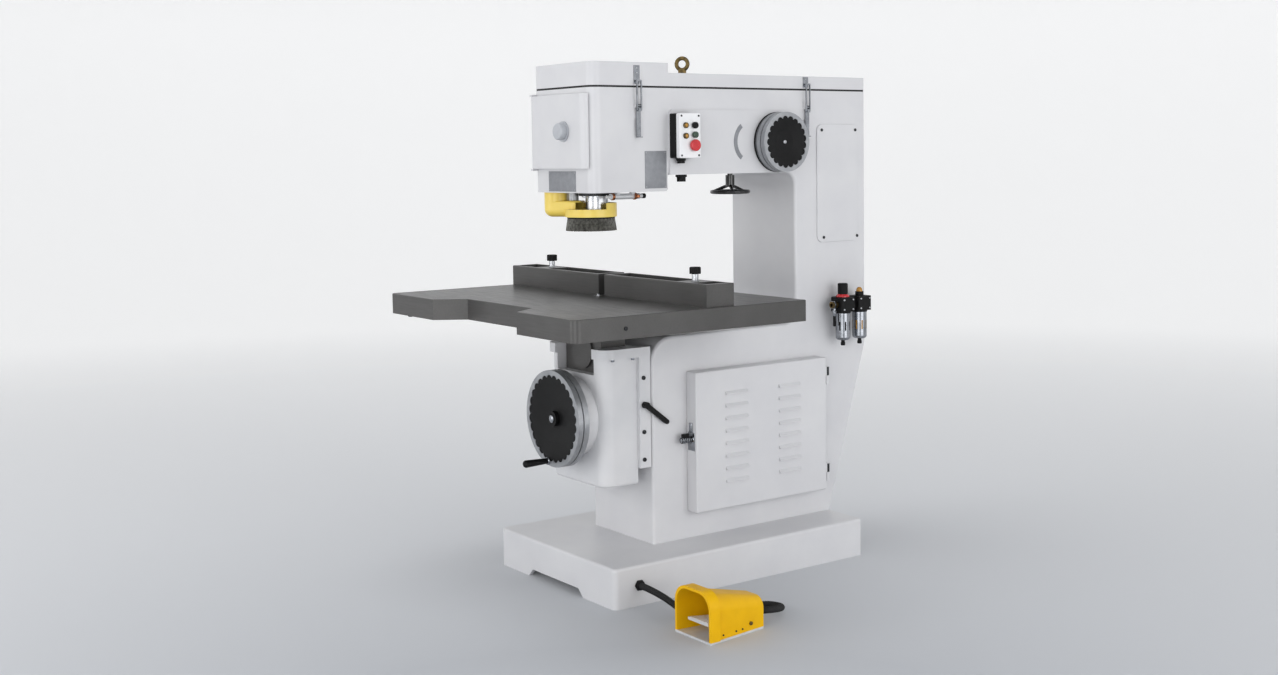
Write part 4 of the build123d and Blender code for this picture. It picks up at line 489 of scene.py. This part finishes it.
# Soft studio light: a bright surround, low boxes at the front, the right and between, and one above
surround = {"colour": "#f3f5f8", "strength": 0.42}
world = bpy.data.worlds.new("studio")
bpy.context.scene.world = world
world.use_nodes = True
background = world.node_tree.nodes["Background"]
background.inputs["Color"].default_value = linear(surround["colour"])
background.inputs["Strength"].default_value = surround["strength"]
softBoxes = {
    "frontBox": {"place": (-0.9, -5.0, 1.3), "aim": (0, -0.1, 0.9), "size": 3.2, "power": 60},
    "rightBox": {"place": (5.0, 0.5, 1.1), "aim": (0, 0.1, 0.8), "size": 3.2, "power": 80},
    "topBox": {"place": (-0.8, -0.6, 5.0), "aim": (0, 0, 0.6), "size": 2.4, "power": 44},
    "fillBox": {"place": (3.4, -4.2, 0.9), "aim": (0, -0.1, 0.9), "size": 2.6, "power": 60},
}
for name, box in softBoxes.items():
    lamp = bpy.data.lights.new(name, "AREA")
    lamp.size = box["size"]
    lamp.energy = box["power"]
    lampObject = bpy.data.objects.new(name, lamp)
    lampObject.visible_camera = False
    lampObject.location = box["place"]
    facing = Vector(box["aim"]) - Vector(box["place"])
    lampObject.rotation_euler = facing.to_track_quat("-Z", "Y").to_euler()
    bpy.context.scene.collection.objects.link(lampObject)
print("camera, floor and lights placed")

# Ribbed air hose on the floor, along the same route as the solid
hose = {
    "route": (
        (318, -411, 62), (420, -411, 62), (505, -375, 11), (550, -300, 11), (550, -130, 11),
        (684, -130, 25), (684, -262, 44),
    ),
    "outer": 10.0, "shoulder": 9.7, "root": 8.3, "pitch": 4.6, "cuff": 20.0, "lip": 2.0,
    "length": 0.6726, "sides": 20, "smooth": 60,
}
ribShape = ((0.0, "root"), (0.2, "shoulder"), (0.4, "outer"), (0.6, "shoulder"), (0.8, "root"))
curve = bpy.data.curves.new("hoseRoute", "CURVE")
curve.dimensions = "3D"
curve.resolution_u = hose["smooth"]
spline = curve.splines.new("NURBS")
spline.points.add(len(hose["route"]) - 1)
for point, place in zip(spline.points, hose["route"]):
    point.co = (*mm(*place), 1)
spline.order_u = 3
spline.use_endpoint_u = True
curveObject = bpy.data.objects.new("hoseRoute", curve)
routeMesh = bpy.data.meshes.new_from_object(curveObject)
routePoints = [v.co.copy() for v in routeMesh.vertices]
bpy.data.objects.remove(curveObject)
bpy.data.meshes.remove(routeMesh)
travel = [0.0]
for first, second in zip(routePoints, routePoints[1:]):
    travel.append(travel[-1] + (second - first).length)


def pointAlong(distance):
    # a place and a heading at that distance along the hose's own line
    for k in range(len(travel) - 1):
        if travel[k + 1] >= distance or k == len(travel) - 2:
            share = (distance - travel[k]) / (travel[k + 1] - travel[k])
            heading = (routePoints[k + 1] - routePoints[k]).normalized()
            return routePoints[k].lerp(routePoints[k + 1], share), heading


pitch, cuff, plain = (size / 1000 for size in (hose["pitch"], hose["cuff"], hose["cuff"] - hose["lip"]))
ribbed = travel[-1] - 2 * cuff
ribs = int(ribbed / pitch)
stations = [(0.0, "outer"), (plain, "outer")]
for rib in range(ribs):
    begin = cuff + rib * ribbed / ribs
    stations += [(begin + share * pitch, key) for share, key in ribShape]
stations += [(travel[-1] - plain, "outer"), (travel[-1], "outer")]
bm = bmesh.new()
before = None
for distance, key in stations:
    place, heading = pointAlong(distance)
    side = Vector((0, 0, 1)).cross(heading).normalized()
    turn = Matrix((side, heading.cross(side), heading)).transposed().to_4x4()
    made = bmesh.ops.create_circle(
        bm, cap_ends=False, segments=hose["sides"], radius=hose[key] / 1000,
        matrix=Matrix.Translation(place) @ turn,
    )
    ring = list({e for v in made["verts"] for e in v.link_edges})
    if before:
        bmesh.ops.bridge_loops(bm, edges=before + ring)
    before = ring
airHose = finishPiece("airHoseRibbed", bm, "rubber", "frame")
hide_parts("air_hose")
print("hose", round(travel[-1], 4), "m,", ribs, "ribs")

# Brush skirt: fine nylon bristles in a moulded ring
hoodCentre = (-12, -336)
brush = {
    "top": 1137.0, "length": 40.0, "trim": 1.6, "inner": 64.0, "outer": 74.0, "inset": 1.0,
    "flare": 6.0, "spread": 0.6, "rows": 6, "strands": 300, "shift": 0.004,
    "thick": 0.75, "taper": 0.8, "seed": 7,
    "ring": ((63.2, 4), (75, 4), (75, 0), (74, -1.5), (64.2, -1.5), (63.2, 0)), "ringSteps": 72,
}
brushTop = mm(*hoodCentre, brush["top"])
dice = random.Random(brush["seed"])
bm = bmesh.new()
for row in range(brush["rows"]):
    depth = brush["outer"] - brush["inner"] - 2 * brush["inset"]
    radius = brush["inner"] + brush["inset"] + depth * row / (brush["rows"] - 1)
    for strand in range(brush["strands"]):
        angle = 2 * math.pi * (strand + 0.5 * (row % 2)) / brush["strands"]
        angle += dice.uniform(-brush["shift"], brush["shift"])
        out = Vector((math.cos(angle), math.sin(angle), 0))
        start = brushTop + out * radius / 1000
        lean = brush["flare"] + dice.uniform(-brush["spread"], brush["spread"])
        drop = brush["length"] - dice.uniform(0, brush["trim"])
        end = start + out * lean / 1000 - mm(0, 0, drop)
        addRod(bm, start, end, brush["thick"] / 1000, brush["thick"] * brush["taper"] / 1000, sides=3)
# the bristles' pale clouds are a painted sheen
bristles = finishPiece("brushBristles", bm, "bristleNylon", "frame")
bm = bmesh.new()
addTurned(bm, brush["ring"], brushTop, (0, 0, 1), brush["ringSteps"])
finishPiece("brushRing", bm, "blackNylon", "frame")
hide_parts("brush_skirt")
print("brush", brush["rows"] * brush["strands"], "strands")


def roundPlaces(centre, circle, angles, z):
    # places on a circle about an upright axis
    return [(centre[0] + circle * math.cos(a), centre[1] + circle * math.sin(a), z) for a in angles]


# Screws, bolts and rivets, one piece for each set
screwSets = {
    "coverScrews": {
        "body": "frame", "finish": "blackSteel", "axis": (1, 0, 0), "radius": 5.0, "height": 2.6,
        "places": [(170, 467, 1404), (170, 619, 1404), (170, 474, 1047), (170, 626, 1047)],
    },
    "panelScrews": {
        "body": "frame", "finish": "blackSteel", "axis": (1, 0, 0), "radius": 3.2, "height": 1.4,
        "places": [(222, y, z) for z in (1447, 1326) for y in (-156, -90)],
    },
    "quillBolts": {
        "body": "frame", "finish": "turnedSteel", "axis": (0, 0, -1), "radius": 5.0, "height": 5.0,
        "places": roundPlaces((0, -322), 46, [math.radians(30 + 60 * k) for k in range(6)], 1205),
    },
    "gibScrews": {
        "body": "knee", "finish": "blackSteel", "axis": (1, 0, 0), "radius": 6.5, "height": 4.5,
        "places": [(163, -270, z) for z in (647, 479, 393)],
    },
    "flangeBolts": {
        "body": "knee", "finish": "platedSteel", "axis": (0, 0, -1), "radius": 5.5, "height": 7.0,
        "places": [(x, y, 712) for x in (158, -158) for y in (-380, -305)],
    },
    "tableStop": {
        "body": "knee", "finish": "blackSteel", "axis": (1, 0, 0), "radius": 6.0, "height": 3.0,
        "places": [(545, -601, 858)],
    },
    "tableBolt": {
        "body": "knee", "finish": "blackSteel", "axis": (0, 0, -1), "radius": 9.0, "height": 9.0,
        "places": [(-470, -735, 829)],
    },
    "plateRivets": {
        "body": "frame", "finish": "turnedAluminium", "axis": (0, -1, 0), "radius": 2.2, "height": 0.9,
        "places": [(x, -449, z) for x in (-71, 71) for z in (1226, 1278)],
    },
    "sidePlateRivets": {
        "body": "frame", "finish": "turnedAluminium", "axis": (1, 0, 0), "radius": 2.2, "height": 0.9,
        "places": [(166, y, z) for y in (-250, -178) for z in (1232, 1336)],
    },
    "keeperRivets": {
        "body": "lid", "finish": "turnedSteel", "axis": (1, 0, 0), "radius": 2.0, "height": 1.0,
        "places": [(167, -282, 1592), (167, -282, 1577), (167, 400, 1570)],
    },
    "tensionScrew": {
        "body": "tension", "finish": "turnedSteel", "axis": (1, 0, 0), "radius": 6.0, "height": 4.0,
        "places": [(211, 268, 1365)],
    },
    "hoodScrews": {
        "body": "frame", "finish": "blackSteel", "axis": (0, 0, 1), "radius": 2.2, "height": 1.8,
        "places": roundPlaces(hoodCentre, 78.4, (-1.1, 0.35, 1.6), 1164),
    },
    "pedalScrew": {
        "body": "frame", "finish": "agedBrass", "axis": (1, 0, 0), "radius": 5.5, "height": 4.0,
        "places": [(717, -312, 26)],
    },
    "pedalRivets": {
        "body": "frame", "finish": "blackSteel", "axis": (1, 0, 0), "radius": 2.6, "height": 1.6,
        "places": [(724.2, -370, 17), (721.2, -345, 17), (730.0, -420, 17)],
    },
    "airScrews": {
        "body": "frame", "finish": "turnedSteel", "axis": (1, 0, 0), "radius": 3.0, "height": 1.6,
        "places": [(245, y, z) for y in (572, 612, 496, 536) for z in (808, 840)],
    },
}


def addScrewSets(sets):
    for name, group in sets.items():
        bm = bmesh.new()
        for place in group["places"]:
            addScrew(bm, mm(*place), group["axis"], group["radius"] / 1000, group["height"] / 1000)
        finishPiece(name, bm, group["finish"], group["body"])
    print("screws", sum(len(group["places"]) for group in sets.values()))


addScrewSets(screwSets)

# Turned details: collars, caps, bands and nuts, each a profile of (radius, height) round its own axis
collar = [
    (7.9, 0), (9.2, 0), (9.2, 2.2), (8.5, 2.6), (8.5, 6.6), (7.9, 7.2), (6.0, 7.2), (6.0, 6.1), (7.9, 6.1),
]
lens = [(0, 9.6), (2.6, 9.2), (4.6, 8.0), (5.9, 6.4), (5.9, 5.8), (0, 5.8)]
hoseNut = [(10.3, 0), (17.0, 0), (17.0, 5.0), (15.0, 6.0), (10.3, 6.0)]
hoseCone = [(10.3, 6.0), (14.2, 6.0), (14.2, 9.0), (12.2, 12.0), (10.3, 12.0)]
studCollar = [(9.1, 0), (11.5, 0), (11.5, 2.0), (9.7, 3.0), (9.7, 20.4), (9.1, 20.4)]
sightBand = [(22.4, 0), (23.1, 0), (23.1, 30), (22.4, 30)]
lampPlaces = [(222, -141, 1418), (222, -141, 1386)]
turnedSets = {
    "lampCollars": {
        "body": "frame", "finish": "agedBrass", "axis": (1, 0, 0), "profile": collar, "places": lampPlaces,
    },
    "lampLenses": {
        "body": "frame", "finish": "amberLens", "axis": (1, 0, 0), "profile": lens, "places": lampPlaces,
        "closed": False,
    },
    "hubCap": {
        "body": "front_wheel", "finish": "platedSteel", "axis": (0, -1, 0), "places": [(0, -502, 524)],
        "profile": [(0, 5.0), (6, 4.8), (10, 3.4), (12, 1.6), (12, -0.6), (0, -0.6)], "closed": False,
    },
    "crankFerrule": {
        "body": "crank", "finish": "platedSteel", "axis": (0, -1, 0), "places": [(-28.7, -500.3, 389)],
        "profile": [(8.7, 0.4), (12.6, 0.4), (12.6, 2.6), (11.0, 5.0), (8.7, 5.0)],
    },
    "tensionBackRing": {
        "body": "tension", "finish": "blackNylon", "axis": (1, 0, 0), "places": [(173, 268, 1365)],
        "profile": [(95.0, 0), (96.6, 0), (96.9, 0.6), (96.9, 7.0), (96.6, 7.6), (95.0, 7.6)],
    },
    "pinRing": {
        "body": "knee", "finish": "turnedSteel", "axis": (0, 0, 1), "places": [(0, -322, 893)],
        "profile": [(6.0, -0.6), (13.6, -0.6), (13.6, 0.2), (13.2, 0.5), (7.0, 0.5), (6.0, 0.0)],
    },
    "regulatorBand": {
        "body": "regulator", "finish": "redAbs", "axis": (0, 0, 1), "places": [(216, 516, 848.6)],
        "profile": [(16.5, 0), (22.0, 0), (22.0, 3.0), (18.4, 8.4), (17.6, 9.0), (16.5, 9.0)],
    },
    "oilDome": {
        "body": "frame", "finish": "amberLens", "axis": (0, 0, 1), "places": [(216, 592, 862)],
        "profile": [(0, 15.0), (5.0, 14.0), (9.0, 10.0), (10.6, 5.0), (10.6, -0.5), (0, -0.5)],
        "closed": False,
    },
    "bowlRings": {
        "body": "frame", "finish": "blackNylon", "axis": (0, 0, 1),
        "places": [(216, 516, 794), (216, 592, 794)],
        "profile": [(24.2, 0), (26.2, 0.8), (26.2, 6.0), (24.2, 6.0)],
    },
    "drainCocks": {
        "body": "frame", "finish": "blackNylon", "axis": (0, 0, 1),
        "places": [(216, 516, 686), (216, 592, 686)],
        "profile": [(0, -0.5), (6.4, -0.5), (7.6, 0.8), (7.6, 9.0), (6.3, 10.0), (6.3, 17.6), (0, 17.6)],
        "closed": False,
    },
    "inletNut": {
        "body": "frame", "finish": "platedSteel", "axis": (0, 1, 0), "places": [(216, 470, 824)], "steps": 6,
        "profile": [(10.6, 0), (14.0, 0), (14.6, 0.6), (14.6, 6.4), (14.0, 7.0), (10.6, 7.0)],
    },
    "latchEscutcheon": {
        "body": "door", "finish": "platedSteel", "axis": (0, -1, 0), "places": [(189, -106, 440)],
        "profile": [(9.9, 0), (14.0, 0), (14.0, 2.0), (12.4, 4.0), (9.9, 4.0)],
    },
    "latchKeyhole": {
        "body": "door_latch", "finish": "platedSteel", "axis": (0, -1, 0), "places": [(189, -146, 440)],
        "profile": [(0, 1.4), (5.0, 1.4), (6.6, 0.6), (6.6, -0.5), (0, -0.5)], "closed": False,
    },
    "latchRings": {
        "body": "door_latch", "finish": "platedSteel", "axis": (0, -1, 0),
        "profile": [(9.2, 0), (10.3, 0.5), (10.3, 3.5), (9.2, 4.0)],
        "places": [(189, y, 440) for y in (-113, -120, -127, -134, -141)],
    },
    "doorKnuckles": {
        "body": "door", "finish": "blackSteel", "axis": (0, 0, 1),
        "places": [(209, 450, 265), (209, 450, 590)],
        "profile": [(5.6, 0.6), (6.5, 0.6), (6.5, 29.0), (5.6, 29.0)],
    },
    "hoodSleeve": {
        "body": "frame", "finish": "turnedAluminium", "axis": (0, 0, 1), "places": [(-60, -370, 1190.5)],
        "profile": [(15.9, 0), (17.2, 0.6), (17.2, 25.4), (15.9, 26.0)],
    },
    "cylinderCollars": {
        "body": "frame", "finish": "copperFitting", "axis": (0, 1, 0),
        "places": [(92, -248, 1203), (92, -330, 1203)],
        "profile": [(8.9, 0), (11.0, 0.8), (11.0, 8.2), (8.9, 9.0)],
    },
    "cylinderEnd": {
        "body": "frame", "finish": "blackNylon", "axis": (0, 1, 0), "places": [(92, -216, 1203)],
        "profile": [(0, 14.0), (4.5, 14.0), (7.8, 11.5), (7.8, 0.5), (6.0, 0), (0, 0)], "closed": False,
    },
    "fenceCollarLeft": {
        "body": "left_knob", "finish": "turnedSteel", "axis": (0, 0, 1), "profile": studCollar,
        "places": [(-368, -258, 959.6)],
    },
    "fenceCollarRight": {
        "body": "right_knob", "finish": "turnedSteel", "axis": (0, 0, 1), "profile": studCollar,
        "places": [(413, -258, 959.6)],
    },
    "waterSight": {
        "body": "frame", "finish": "blackNylon", "axis": (0, 0, 1), "profile": sightBand,
        "places": [(216, 516, 737)],
    },
    "oilSight": {
        "body": "frame", "finish": "amberLens", "axis": (0, 0, 1), "profile": sightBand,
        "places": [(216, 592, 737)],
    },
    "hoseNuts": {
        "body": "frame", "finish": "blackNylon", "axis": (1, 0, 0), "profile": hoseNut, "steps": 6,
        "places": [(325, -411, 62)],
    },
    "hoseCones": {
        "body": "frame", "finish": "blackNylon", "axis": (1, 0, 0), "profile": hoseCone,
        "places": [(325, -411, 62)],
    },
    "pedalNut": {
        "body": "frame", "finish": "blackNylon", "axis": (0, 1, 0), "profile": hoseNut, "steps": 6,
        "places": [(684, -260, 44)],
    },
    "boxNut": {
        "body": "frame", "finish": "blackNylon", "axis": (0, 0, -1), "steps": 6,
        "places": [(188, -134, 1318)],
        "profile": [(11.8, 1.0), (15.0, 1.0), (15.0, 7.0), (14.0, 8.0), (11.8, 8.0)],
    },
    "armNut": {
        "body": "frame", "finish": "blackNylon", "axis": (0, 0, -1), "steps": 6,
        "places": [(150, -105, 1267)],
        "profile": [(13.8, 0.6), (18.0, 0.6), (18.0, 7.0), (16.8, 8.0), (13.8, 8.0)],
    },
}
for name, group in turnedSets.items():
    shape = {key: group[key] for key in ("steps", "closed") if key in group}
    bm = bmesh.new()
    for place in group["places"]:
        addTurned(bm, group["profile"], mm(*place), group["axis"], **shape)
    finishPiece(name, bm, group["finish"], group["body"])
print("turned details", len(turnedSets))

# Bare plates on the head, and the air port of the spindle lock
headPlates = {
    "plates": (((-76, -449, 1221), (76, -447.6, 1283)), ((164.6, -255, 1227), (166, -173, 1341))),
    "soften": 0.4,
}
bm = bmesh.new()
for low, high in headPlates["plates"]:
    addSlab(bm, mm(*low), mm(*high), headPlates["soften"] / 1000)
finishPiece("headPlates", bm, "barePlate", "frame")
airPort = {
    "start": (102, -243.5, 1203), "reach": 14.0, "radius": 5.0, "soften": 0.6,
    "nut": (2, 7), "nutRadius": 6.75,
}
bm = bmesh.new()
start = mm(*airPort["start"])
end = start + mm(airPort["reach"], 0, 0)
addRod(bm, start, end, airPort["radius"] / 1000, soften=airPort["soften"] / 1000)
nutStart, nutEnd = (start + mm(along, 0, 0) for along in airPort["nut"])
addRod(bm, nutStart, nutEnd, airPort["nutRadius"] / 1000, sides=6)
finishPiece("airPort", bm, "copperFitting", "frame")

# Plated keeper plate round the door latch
latchPlate = {
    "plates": (((172, -107.6, 404), (206, -105.8, 462)), ((183, -112, 462), (195, -105.8, 492))),
    "soften": 0.8,
}
bm = bmesh.new()
for low, high in latchPlate["plates"]:
    addSlab(bm, mm(*low), mm(*high), latchPlate["soften"] / 1000)
finishPiece("latchPlate", bm, "platedSteel", "door")

# Curved index plate beside the tension wheel
indexPlate = {
    "centre": (172, 161, 1367), "inner": 57.5, "outer": 71.5, "thick": 1.2, "sink": 0.2,
    "sweep": 104.0, "steps": 40,
}
centre = mm(*indexPlate["centre"])
startAngle = math.radians(180 - indexPlate["sweep"] / 2)
outward = Vector((0, math.cos(startAngle), math.sin(startAngle)))
corners = [
    centre + mm(x, 0, 0) + outward * indexPlate[key] / 1000
    for x, key in (
        (-indexPlate["sink"], "inner"), (indexPlate["thick"], "inner"),
        (indexPlate["thick"], "outer"), (-indexPlate["sink"], "outer"),
    )
]
bm = bmesh.new()
addArc(bm, corners, centre, (1, 0, 0), indexPlate["sweep"], indexPlate["steps"])
finishPiece("indexPlate", bm, "barePlate", "frame")
print("plates placed")

# Ribbed tread of the foot pedal, on the sloping plate
treadleTread = {
    "pin": (659, -312, 30), "slope": 7.0, "first": 26.0, "pitch": 11.0, "count": 11,
    "rib": (80.0, 4.5, 3.6), "soften": 0.8,
}
slope = math.radians(treadleTread["slope"])
bm = bmesh.new()
for k in range(treadleTread["count"]):
    along = treadleTread["first"] + k * treadleTread["pitch"]
    place = mm(*treadleTread["pin"]) + mm(0, -along * math.cos(slope), along * math.sin(slope))
    addBlock(
        bm, Matrix.Translation(place) @ Matrix.Rotation(-slope, 4, "X"), mm(*treadleTread["rib"]),
        treadleTread["soften"] / 1000,
    )
finishPiece("treadleRibs", bm, "satinAluminium", "treadle")

# Drain tap that hangs from the air inlet: plated stem, black lever
drainTap = {
    "stem": ((216, 478, 814), (216, 478, 786)), "radius": 5.0, "stemSoften": 0.6,
    "nut": ((216, 478, 806), (216, 478, 799)), "nutRadius": 7.5,
    "lever": ((212.5, 474, 752), (219.5, 482, 788)), "leverSoften": 1.2,
}
stemTop, stemEnd, nutTop, nutEnd, leverLow, leverHigh = (
    mm(*place) for key in ("stem", "nut", "lever") for place in drainTap[key]
)
bm = bmesh.new()
addRod(bm, stemTop, stemEnd, drainTap["radius"] / 1000, soften=drainTap["stemSoften"] / 1000)
addRod(bm, nutTop, nutEnd, drainTap["nutRadius"] / 1000, sides=6)
finishPiece("drainStem", bm, "platedSteel", "frame")
bm = bmesh.new()
addSlab(bm, leverLow, leverHigh, drainTap["leverSoften"] / 1000)
finishPiece("drainLever", bm, "blackNylon", "frame")

# Collar round the back of the dust hood, and the wing screw that holds the hood
hoodCollar = {
    "inner": 76.2, "outer": 80.8, "low": 1163.5, "high": 1183.0, "from": 4.0, "sweep": 174.0, "steps": 64,
}
startAngle = math.radians(hoodCollar["from"])
outward = Vector((math.cos(startAngle), math.sin(startAngle), 0))
corners = [
    mm(*hoodCentre, hoodCollar[level]) + outward * hoodCollar[key] / 1000
    for key, level in (("inner", "low"), ("outer", "low"), ("outer", "high"), ("inner", "high"))
]
bm = bmesh.new()
addArc(bm, corners, mm(*hoodCentre, hoodCollar["low"]), (0, 0, 1), hoodCollar["sweep"], hoodCollar["steps"])
finishPiece("hoodCollar", bm, "yellowEnamel", "frame")
hoodClamp = {
    "place": (-46, -392, 1164), "stem": 9.0, "radius": 4.2, "stemSoften": 0.5,
    "wingLow": 5.25, "wingHigh": 15.0, "span": 11.0, "thick": 3.2, "wingSoften": 1.2,
}
base = mm(*hoodClamp["place"])
stemEnd = base + mm(0, 0, hoodClamp["stem"])
bm = bmesh.new()
addRod(bm, base, stemEnd, hoodClamp["radius"] / 1000, soften=hoodClamp["stemSoften"] / 1000)
for reach in (-hoodClamp["span"], hoodClamp["span"]):
    low = base + mm(min(0, reach), -hoodClamp["thick"] / 2, hoodClamp["wingLow"])
    high = base + mm(max(0, reach), hoodClamp["thick"] / 2, hoodClamp["wingHigh"])
    addSlab(bm, low, high, hoodClamp["wingSoften"] / 1000)
finishPiece("hoodWing", bm, "blackNylon", "frame")
print("pedal tread, drain tap and hood clamp placed")

# Devices on the electrics panel, seen with the cabinet door open
deviceFit = {"sink": 1.0, "soften": 0.8}
deviceRows = {
    "terminalStrip": {
        "finish": "whiteAbs", "face": -93, "proud": 4.0, "low": 264, "high": 336,
        "first": -24, "pitch": 20.4, "count": 19, "wide": 18.6,
    },
    "contactors": {
        "finish": "blackNylon", "face": -63, "proud": 5.0, "low": 396, "high": 464,
        "first": -24, "pitch": 65.0, "count": 6, "wide": 60.0,
    },
    "breakers": {
        "finish": "whiteAbs", "face": -83, "proud": 5.0, "low": 528, "high": 602,
        "first": -24, "pitch": 32.4, "count": 12, "wide": 30.4,
    },
    "breakerToggles": {
        "finish": "blackNylon", "face": -78, "proud": 8.0, "low": 556, "high": 574,
        "first": -14, "pitch": 32.4, "count": 12, "wide": 10.0,
    },
    "contactorFronts": {
        "finish": "greyAbs", "face": -58, "proud": 1.6, "low": 418, "high": 442,
        "first": -10, "pitch": 65.0, "count": 6, "wide": 32.0,
    },
    "lowerTrunking": {
        "finish": "greyAbs", "face": -149, "proud": 50.0, "low": 354, "high": 386,
        "first": -26, "pitch": 12.2, "count": 33, "wide": 8.0,
    },
    "upperTrunking": {
        "finish": "greyAbs", "face": -149, "proud": 50.0, "low": 476, "high": 514,
        "first": -26, "pitch": 12.2, "count": 33, "wide": 8.0,
    },
}
for name, row in deviceRows.items():
    bm = bmesh.new()
    for k in range(row["count"]):
        near = row["first"] + k * row["pitch"]
        low = mm(row["face"] - deviceFit["sink"], near, row["low"])
        high = mm(row["face"] + row["proud"], near + row["wide"], row["high"])
        addSlab(bm, low, high, deviceFit["soften"] / 1000)
    finishPiece(name, bm, row["finish"], "frame")
print("electrics", sum(row["count"] for row in deviceRows.values()), "devices")
addScrewSets({
    "terminalScrews": {
        "body": "frame", "finish": "turnedSteel", "axis": (1, 0, 0), "radius": 4.0, "height": 1.2,
        "places": [(-89, -14.7 + 20.4 * k, z) for k in range(19) for z in (276, 324)],
    },
    "contactorScrews": {
        "body": "frame", "finish": "turnedSteel", "axis": (1, 0, 0), "radius": 4.0, "height": 1.2,
        "places": [(-58, y + 65.0 * k, z) for k in range(6) for y in (-16, 6, 28) for z in (403, 457)],
    },
})
